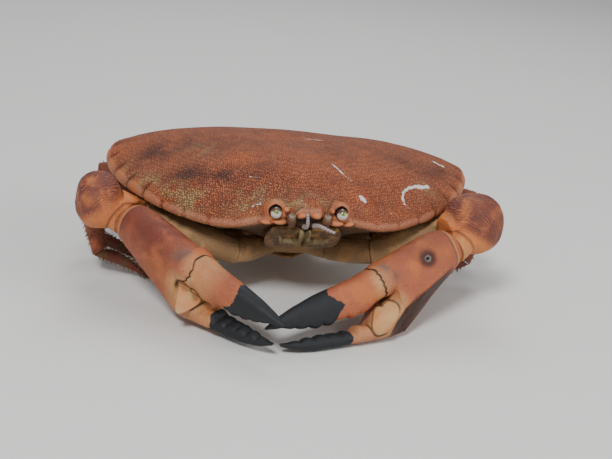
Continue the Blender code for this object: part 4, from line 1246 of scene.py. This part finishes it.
class CRAB_OT_claws(bpy.types.Operator):
    """Build the palms and fingers of both claws"""
    bl_idname = "crab.claws"
    bl_label = "Claws"

    def execute(self, context):
        skin, cream = claw_material("claw_skin"), plate_material()
        for name, side in SIDES.items():
            palm = refined(f"claw_{name}_propodus", f"palm_{name}", 3)
            plan = self.shape_palm(claw_plan(points_of(palm), side), side)
            set_points(palm, claw_point(toothed(plan, 1), side))
            self.soften(palm, side)
            finger = refined(f"claw_{name}_dactyl", f"finger_{name}", 3)
            set_points(finger, claw_point(toothed(claw_plan(points_of(finger), side), -1), side))
            lip = self.lip(finger, side, name)
            plate = self.plate((palm, finger, lip), side, name)
            for piece, part in ((palm, "palm"), (finger, "finger"), (lip, "lip")):
                plan = claw_plan(points_of(piece), side)
                roughen(piece, 0.0004)
                self.masks(piece, plan, side, part)
                smooth(piece, 50)
            finish_piece(palm, skin, "claw", f"claw_{name}_propodus")
            finish_piece(finger, skin, "claw_finger", f"claw_{name}_dactyl")
            finish_piece(lip, skin, "claw")
            finish_piece(plate, cream, "claw")
        return {"FINISHED"}

    def soften(self, palm, side):
        """Rounds off the palm where it narrows at the finger's root."""
        length, up, out = claw_plan(points_of(palm), side).T
        chosen = (length > 24) & (length < 44) & (np.abs(up + 6) < 11) & (out > 2)
        even_out(palm, chosen, PALM_ROUNDS)

    def shape_palm(self, plan, side):
        """Adds the keel and the sunken pit of the left palm."""
        if side < 0:
            return plan
        length, up, out = plan.T
        outer = step(out, 0.5, 5.0)
        below = np.interp(length, *zip(*KEEL)) - up
        reach = step(length, 5, 16) * step(length, 46, 38) * outer
        push = KEEL_RISE * bell(below, 1.3) - KEEL_DEPTH * step(below, 0.6, 5.5)
        away = np.hypot(length - PIT[0], up - PIT[1])
        scar = 0.8 * bell(away, 0.9) - 0.2 * bell(away - 1.6, 0.6)
        push = push * reach - outer * scar
        return np.stack([length, up, out + push], axis=1)

    def lip(self, finger, side, name):
        """The palm's skin over the finger's root, up to the line of the joint."""
        piece = bpy.data.objects.new(f"joint_lip_{name}", finger.data.copy())
        bpy.context.scene.collection.objects.link(piece)
        plan = claw_plan(points_of(piece), side)
        first = plan[:, 0].min()
        fingers = np.array(CLAW_PLACE[side][1])
        bm = bmesh.new()
        bm.from_mesh(piece.data)
        bm.faces.ensure_lookup_table()
        backwards = [face for face in bm.faces if face.normal @ Vector(fingers) < -0.7
                     or any(plan[vert.index, 0] > LIP_END for vert in face.verts)]
        bmesh.ops.delete(bm, geom=backwards, context="FACES")
        bm.to_mesh(piece.data)
        bm.free()
        plan = claw_plan(points_of(piece), side)
        length, up, out = plan.T
        share = np.clip((length - first) / (length.max() - first), 0, 1)
        start = HINGE - LIP_OVERLAP
        edge = lip_edge(up, side)
        grow = 1.2 - 0.6 * share - 0.35 * step(share, 0.93, 1.0)
        half_height, half_width = FINGER_ROOT
        plan = np.stack([start + share * (edge - start),
                         FINGER_MIDDLE + (up - FINGER_MIDDLE) * (1 + 0.5 * grow / half_height),
                         out * (1 + grow / half_width)], axis=1)
        set_points(piece, claw_point(plan, side))
        apply_modifier(piece, "SOLIDIFY", thickness=LIP_THICKNESS * MM, offset=-1.0)
        return piece

    def plate(self, parts, side, name):
        """The heart-shaped plate that lies over the joint's lower end."""
        outline = rounded_outline(PLATES[side])
        centre = outline.mean(axis=0)
        spokes = outline - centre
        turns = np.arctan2(spokes[:, 1], spokes[:, 0])
        order = np.argsort(turns)
        reach = np.linalg.norm(spokes, axis=1)[order]
        trees = [BVHTree.FromPolygons([tuple(p) for p in claw_plan(points_of(part), side)],
                                      [tuple(face.vertices) for face in part.data.polygons])
                 for part in parts]

        def height_at(x, y):
            hits = [tree.ray_cast(Vector((x, y, OUTSIDE)), Vector((0, 0, -1)))[0] for tree in trees]
            return max((hit.z for hit in hits if hit is not None and hit.z > 0), default=-OUTSIDE)

        def terms(x, y):
            return np.stack([np.ones_like(x), x, y, x * x, x * y, y * y], axis=1)

        marks = [(*(spoke * share), height_at(*(centre + spoke * share)))
                 for spoke in spokes for share in (0.15, 0.4, 0.65, 0.9)]
        marks = np.array([mark for mark in marks if mark[2] > 0])
        known = terms(marks[:, 0], marks[:, 1])
        target = marks[:, 2]
        for _ in range(PLATE_ROUNDS):
            fit = np.linalg.lstsq(known, target, rcond=None)[0]
            target = np.maximum(marks[:, 2], known @ fit)
        piece = primitive("uv_sphere", segments=128, ring_count=48, radius=MM, location=ORIGIN)
        piece.name = f"joint_plate_{name}"
        settle(piece)
        x, y, z = points_of(piece).T
        flat = np.clip(np.hypot(x, y), 0, 1)
        around = np.arctan2(y, x)
        spoke = np.interp(around, turns[order], reach, period=2 * pi) * flat
        dx, dy = np.cos(around) * spoke, np.sin(around) * spoke
        found = [height_at(*at) for at in zip(centre[0] + dx, centre[1] + dy)]
        surface = np.maximum(terms(dx, dy) @ fit, found)
        dome = np.sqrt(np.clip(1 - flat**6, 0, 1))
        rise = np.where(z > 0, PLATE_RISE * dome, -PLATE_DEPTH * dome)
        plan = np.stack([centre[0] + dx, centre[1] + dy, surface + rise], axis=1)
        set_points(piece, claw_point(plan, side))
        apply_modifier(piece, "SMOOTH", factor=0.5, iterations=8)
        # Joint line round the plate, strongest above; its darkening on the right is painted shade.
        strong = np.clip(step(dy, -3.0, 1.0) + step(dx, 1.0, 4.0) * step(dy, -7, -4), 0.15, 1)
        paint(piece, "border", step(flat, 0.93, 0.995) * 0.8 * strong)
        outward_faces(piece)
        smooth(piece, 60)
        return piece

    def masks(self, piece, plan, side, part):
        """Paints what the claws' material needs on a palm, a finger or a joint's lip."""
        length, up, out = plan.T
        outer = step(out, -1.0, 3.0)
        edge = lip_edge(up, side)
        outline = rounded_outline(PLATES[side])
        centre = outline.mean(axis=0)
        plate = np.full(len(plan), -30.0)
        close = (length > 30) & (length < 56) & (out > 0)
        plate[close] = inside_outline(plan[close, :2], outline)
        # The seam round the plate is its joint line; its darkening on the right is painted shade.
        strong = np.clip(step(up - centre[1], -3.0, 1.0) + step(length - centre[0], 1.0, 4.0), 0.1,
                         1)
        seam = bell(plate + 0.35, 0.42) * outer * strong
        beyond = length - edge
        if part == "finger":
            seam = np.maximum(seam, step(beyond, 1.15, 0.6))
            cream = step(beyond, 6.5, 1.5) * step(up, 13, 6) * (0.9 if side > 0 else 1.0)
            if side < 0:
                cream = np.maximum(cream, 0.55 * step(length, 60, 46))
            dusk = 0.35 * step(up, 9, 12)
        else:
            cream = np.maximum(step(plate, -7.0, -1.0) * 0.75 * outer,
                               0.5 * step(beyond, -7, -1) * outer)
            cream = np.maximum(cream, bell(length - 3.35, 0.42))
            cream = np.maximum(cream, 0.5 * step(length, 46, 52) * step(length, 62, 56))
            seam = np.maximum(seam, 0.6 * bell(length - 4.1, 0.45) * outer)
            if side < 0:
                # On the right palm the darkening is mostly painted shade, over its maroon top.
                dusk = np.clip(0.45 + 0.5 * step(up, -4, 9), 0, 1) * step(length, 40, 22)
            else:
                dusk = 0.5 * step(up, 3, 12) * step(length, 36, 20) + 0.15
            dusk = dusk * step(length, 3.2, 5.0)
        black = np.interp(up, *zip(*BLACK_EDGE[side, "moving" if part == "finger" else "fixed"]))
        keel = np.zeros(len(plan))
        pit = np.full(len(plan), 99.0)
        if side > 0 and part == "palm":
            below = np.interp(length, *zip(*KEEL)) - up
            # Painted shade below the keel on the left palm's outer face.
            keel = step(below, -0.4, 0.7) * step(length, 4, 12) * step(length, 47, 41) * outer
            away = np.hypot(length - PIT[0], up - PIT[1])
            pit = np.where(out > 0, away, 99.0)
        grey = sum(np.exp(-((length - a) ** 2 + (up - b) ** 2) / 7.0)
                   + np.exp(-((length - a) ** 2 + (up - b) ** 2) / 1.2)
                   for a, b in GREY_SPOTS[side])
        for name, values in (("cream", cream * (1 - keel)), ("seam", np.clip(seam, 0, 1)),
                             ("dusk", dusk),
                             ("black", length - black), ("keel", keel), ("pit", pit),
                             ("grey", np.clip(grey * outer * 0.6, 0, 1))):
            paint(piece, name, values)


class CRAB_OT_arms(bpy.types.Operator):
    """Build the arms and wrists that carry the claws"""
    bl_idname = "crab.arms"
    bl_label = "Claw arms"

    def execute(self, context):
        tone = colours()
        arm = limb_material("arm_skin", tone.under, tone.cream, 0.012, 0.5, 0.0002, 0.4, 0.75)
        wrist_skin = wrist_material()
        for name, side in SIDES.items():
            for part, slot in (("ischium", "joint_cream"), ("merus", "limb")):
                dress(f"claw_{name}_{part}", f"arm_{part}_{name}", arm, slot, 0.0004, 3)
            piece = refined(f"claw_{name}_carpus", f"wrist_{name}", 3)
            points = points_of(piece)
            roughen(piece, 0.0008)
            wrist = np.array(CLAW_PLACE[side][0])
            joint = np.array(WRIST_JOINT[side])
            near = np.minimum(np.linalg.norm(points - wrist, axis=1),
                              np.linalg.norm(points - joint, axis=1))
            paint(piece, "cream", step(near, 7.6, 6.4) * 0.4)
            paint(piece, "seam", 0.7 * bell(near - 8.2, 0.45))
            centre = points.mean(axis=0)
            outward = (points[:, 0] - centre[0]) * side
            paint(piece, "dusk", step(points[:, 2] - centre[2] + 0.6 * outward, 0.0, 6.0))
            paint(piece, "arc", np.hypot(outward + 3, points[:, 2] - centre[2] + 4)
                  + 0.25 * (points[:, 1] - centre[1]))
            smooth(piece)
            finish_piece(piece, wrist_skin, "limb", f"claw_{name}_carpus")
        return {"FINISHED"}


class CRAB_OT_legs(bpy.types.Operator):
    """Build the walking legs"""
    bl_idname = "crab.legs"
    bl_label = "Walking legs"

    def execute(self, context):
        tone = colours()
        skin = limb_material("leg_skin", tone.leg, tone.claw, 0.012, 0.42, 0.0003, 0.45, 0.6)
        toe = limb_material("toe_skin", tone.claw_dark, tone.bristle, 0.008, 0.5, 0.0002, 0.5, 0.6)
        hair = bristle_material("leg_bristles", tone.bristle, [c * 2.4 for c in tone.bristle])
        counts = {"merus": 60, "carpus": 50, "propodus": 120, "dactyl": 150}
        for name, side in SIDES.items():
            for number in range(1, 5):
                for place, (part, count) in enumerate(counts.items()):
                    node = f"leg_{name}_{number}_{part}"
                    material, slot = (toe, "leg_tip") if part == "dactyl" else (skin, "leg")
                    piece = dress(node, f"walking_{node}", material, slot)
                    self.bristles(piece, part, side, count, (number - 1 + place / 4) / 4, hair,
                                  number * 10 + place)
        return {"FINISHED"}

    def bristles(self, piece, part, side, count, first, material, seed):
        """Tufts along the upper and lower edges of one leg piece."""
        points, normals = points_of(piece), normals_of(piece)
        centre = points.mean(axis=0)
        axes = np.linalg.svd(points[::4] - centre, full_matrices=False)[2]
        along = axes[0]
        towards = np.array([0, 0, -1.0]) if part in ("propodus",
                                                     "dactyl") else np.array([side, 0, 0.0])
        along = along * np.sign(along @ towards)
        share = (points - centre) @ along
        share = (share - share.min()) / (share.max() - share.min())
        around = np.arctan2((points - centre) @ axes[1], (points - centre) @ axes[2])
        weights = (0.15 + np.abs(normals @ axes[1]) ** 4) * step(share, 0.04, 0.1) * step(share,
                                                                                          0.97, 0.9)
        chosen = pick(weights * (points[:, 2] > 1.0), count, seed)
        unwrap = np.stack([0.02 + 0.96 * (around / (2 * pi) + 0.5), first + 0.06 * share], axis=1)
        tufts(piece.name.replace("walking", "bristles"), points, normals, chosen, along * 0.8,
              unwrap,
              material, "leg", sizes().bristle)


# Camera of the photograph, fitted to the crab: its turn and rise in degrees round the point over
# the crab's origin at the height of the shell's corners, its distance, its roll, the picture's
# size in pixels, and in pixels the focal length and that point's place in the picture.
VIEW_TURN, VIEW_RISE, VIEW_DISTANCE, VIEW_ROLL = -9.0, 17.0, 520.0, 4.8
PICTURE, VIEW_FOCUS, VIEW_AT = (612, 459), 1151.83, (290.85, 168.5)
# Lamps: name, place from the middle of the crab in metres, size, power.
LAMPS = [("key_light", (-0.35, -0.8, 0.85), 0.28, 11.0),
         ("fill_light", (0.75, -0.5, 0.45), 0.6, 4.0),
         ("rear_light", (0.1, 0.6, 0.8), 0.6, 3.5)]
LIT_HEIGHT, FLOOR_SIZE, SENSOR_WIDTH = 35, 6.0, 36.0
ROOM_COLOUR, ROOM_STRENGTH = (0.9, 0.93, 0.97, 1), 0.36


class CRAB_OT_stage(bpy.types.Operator):
    """Build the floor, the lights and the camera"""
    bl_idname = "crab.stage"
    bl_label = "Stage"

    def execute(self, context):
        floor = primitive("plane", size=FLOOR_SIZE, location=(0, 0, 0))
        floor.name = "studio_floor"
        floor.data.materials.append(floor_material())
        target = in_place((0, 0, LIT_HEIGHT))
        for name, place, size, power in LAMPS:
            bpy.ops.object.light_add(type="AREA", location=target + Vector(place))
            lamp = context.object
            lamp.name = name
            lamp.data.shape = "DISK"
            lamp.data.size = size
            lamp.data.energy = power
            lamp.rotation_euler = (-Vector(place)).to_track_quat("-Z", "Y").to_euler()
        world = bpy.data.worlds.new("pale_room")
        world.use_nodes = True
        room = world.node_tree.nodes["Background"]
        room.inputs["Color"].default_value = ROOM_COLOUR
        room.inputs["Strength"].default_value = ROOM_STRENGTH
        context.scene.world = world
        self.camera(context)
        return {"FINISHED"}

    def camera(self, context):
        """Adds the camera at the photograph's place."""
        turn, rise, roll = (radians(v) for v in (VIEW_TURN, VIEW_RISE, VIEW_ROLL))
        back = Vector((sin(turn) * cos(rise), -cos(turn) * cos(rise), sin(rise)))
        level = Vector((cos(turn), sin(turn), 0))
        upright = back.cross(level)
        across = level * cos(roll) + upright * sin(roll)
        high = upright * cos(roll) - level * sin(roll)
        aim = (across * (PICTURE[0] / 2 - VIEW_AT[0]) / VIEW_FOCUS
               - high * (PICTURE[1] / 2 - VIEW_AT[1]) / VIEW_FOCUS - back).normalized()
        across = (across - aim * across.dot(aim)).normalized()
        high = across.cross(aim)
        bpy.ops.object.camera_add(location=in_place((0, 0, TIP_HEIGHT)) + back * VIEW_DISTANCE * MM)
        camera = context.object
        camera.name = "camera"
        camera.rotation_euler = Matrix((across, high, -aim)).transposed().to_euler()
        camera.data.sensor_width = SENSOR_WIDTH
        camera.data.lens = SENSOR_WIDTH * VIEW_FOCUS / PICTURE[0]
        camera.data.clip_start = 0.01
        context.scene.camera = camera


STEPS = ("shell", "underside", "eyes", "mouth", "feelers", "arms", "claws", "legs", "stage")


class CRAB_PT_panel(bpy.types.Panel):
    """Steps that build the crab"""
    bl_idname = "CRAB_PT_panel"
    bl_label = "Brown Crab"
    bl_space_type = "VIEW_3D"
    bl_region_type = "UI"
    bl_category = "Crab"

    def draw(self, context):
        for group in (context.scene.crab_sizes, context.scene.crab_colours):
            for name in group.bl_rna.properties.keys():
                if name not in {"rna_type", "name"}:
                    self.layout.prop(group, name)
        for name in STEPS:
            self.layout.operator(f"crab.{name}")


CLASSES = (CrabShellSizes, CrabColours, CRAB_OT_shell, CRAB_OT_underside, CRAB_OT_eyes,
           CRAB_OT_mouth, CRAB_OT_feelers, CRAB_OT_arms, CRAB_OT_claws, CRAB_OT_legs,
           CRAB_OT_stage, CRAB_PT_panel)


def register():
    for made in CLASSES:
        bpy.utils.register_class(made)
    bpy.types.Scene.crab_sizes = bpy.props.PointerProperty(type=CrabShellSizes)
    bpy.types.Scene.crab_colours = bpy.props.PointerProperty(type=CrabColours)


def unregister():
    del bpy.types.Scene.crab_colours
    del bpy.types.Scene.crab_sizes
    for made in reversed(CLASSES):
        bpy.utils.unregister_class(made)


def main():
    register()
    for name in STEPS:
        getattr(bpy.ops.crab, name)()
    bpy.context.view_layer.update()


if __name__ == "__main__":
    main()
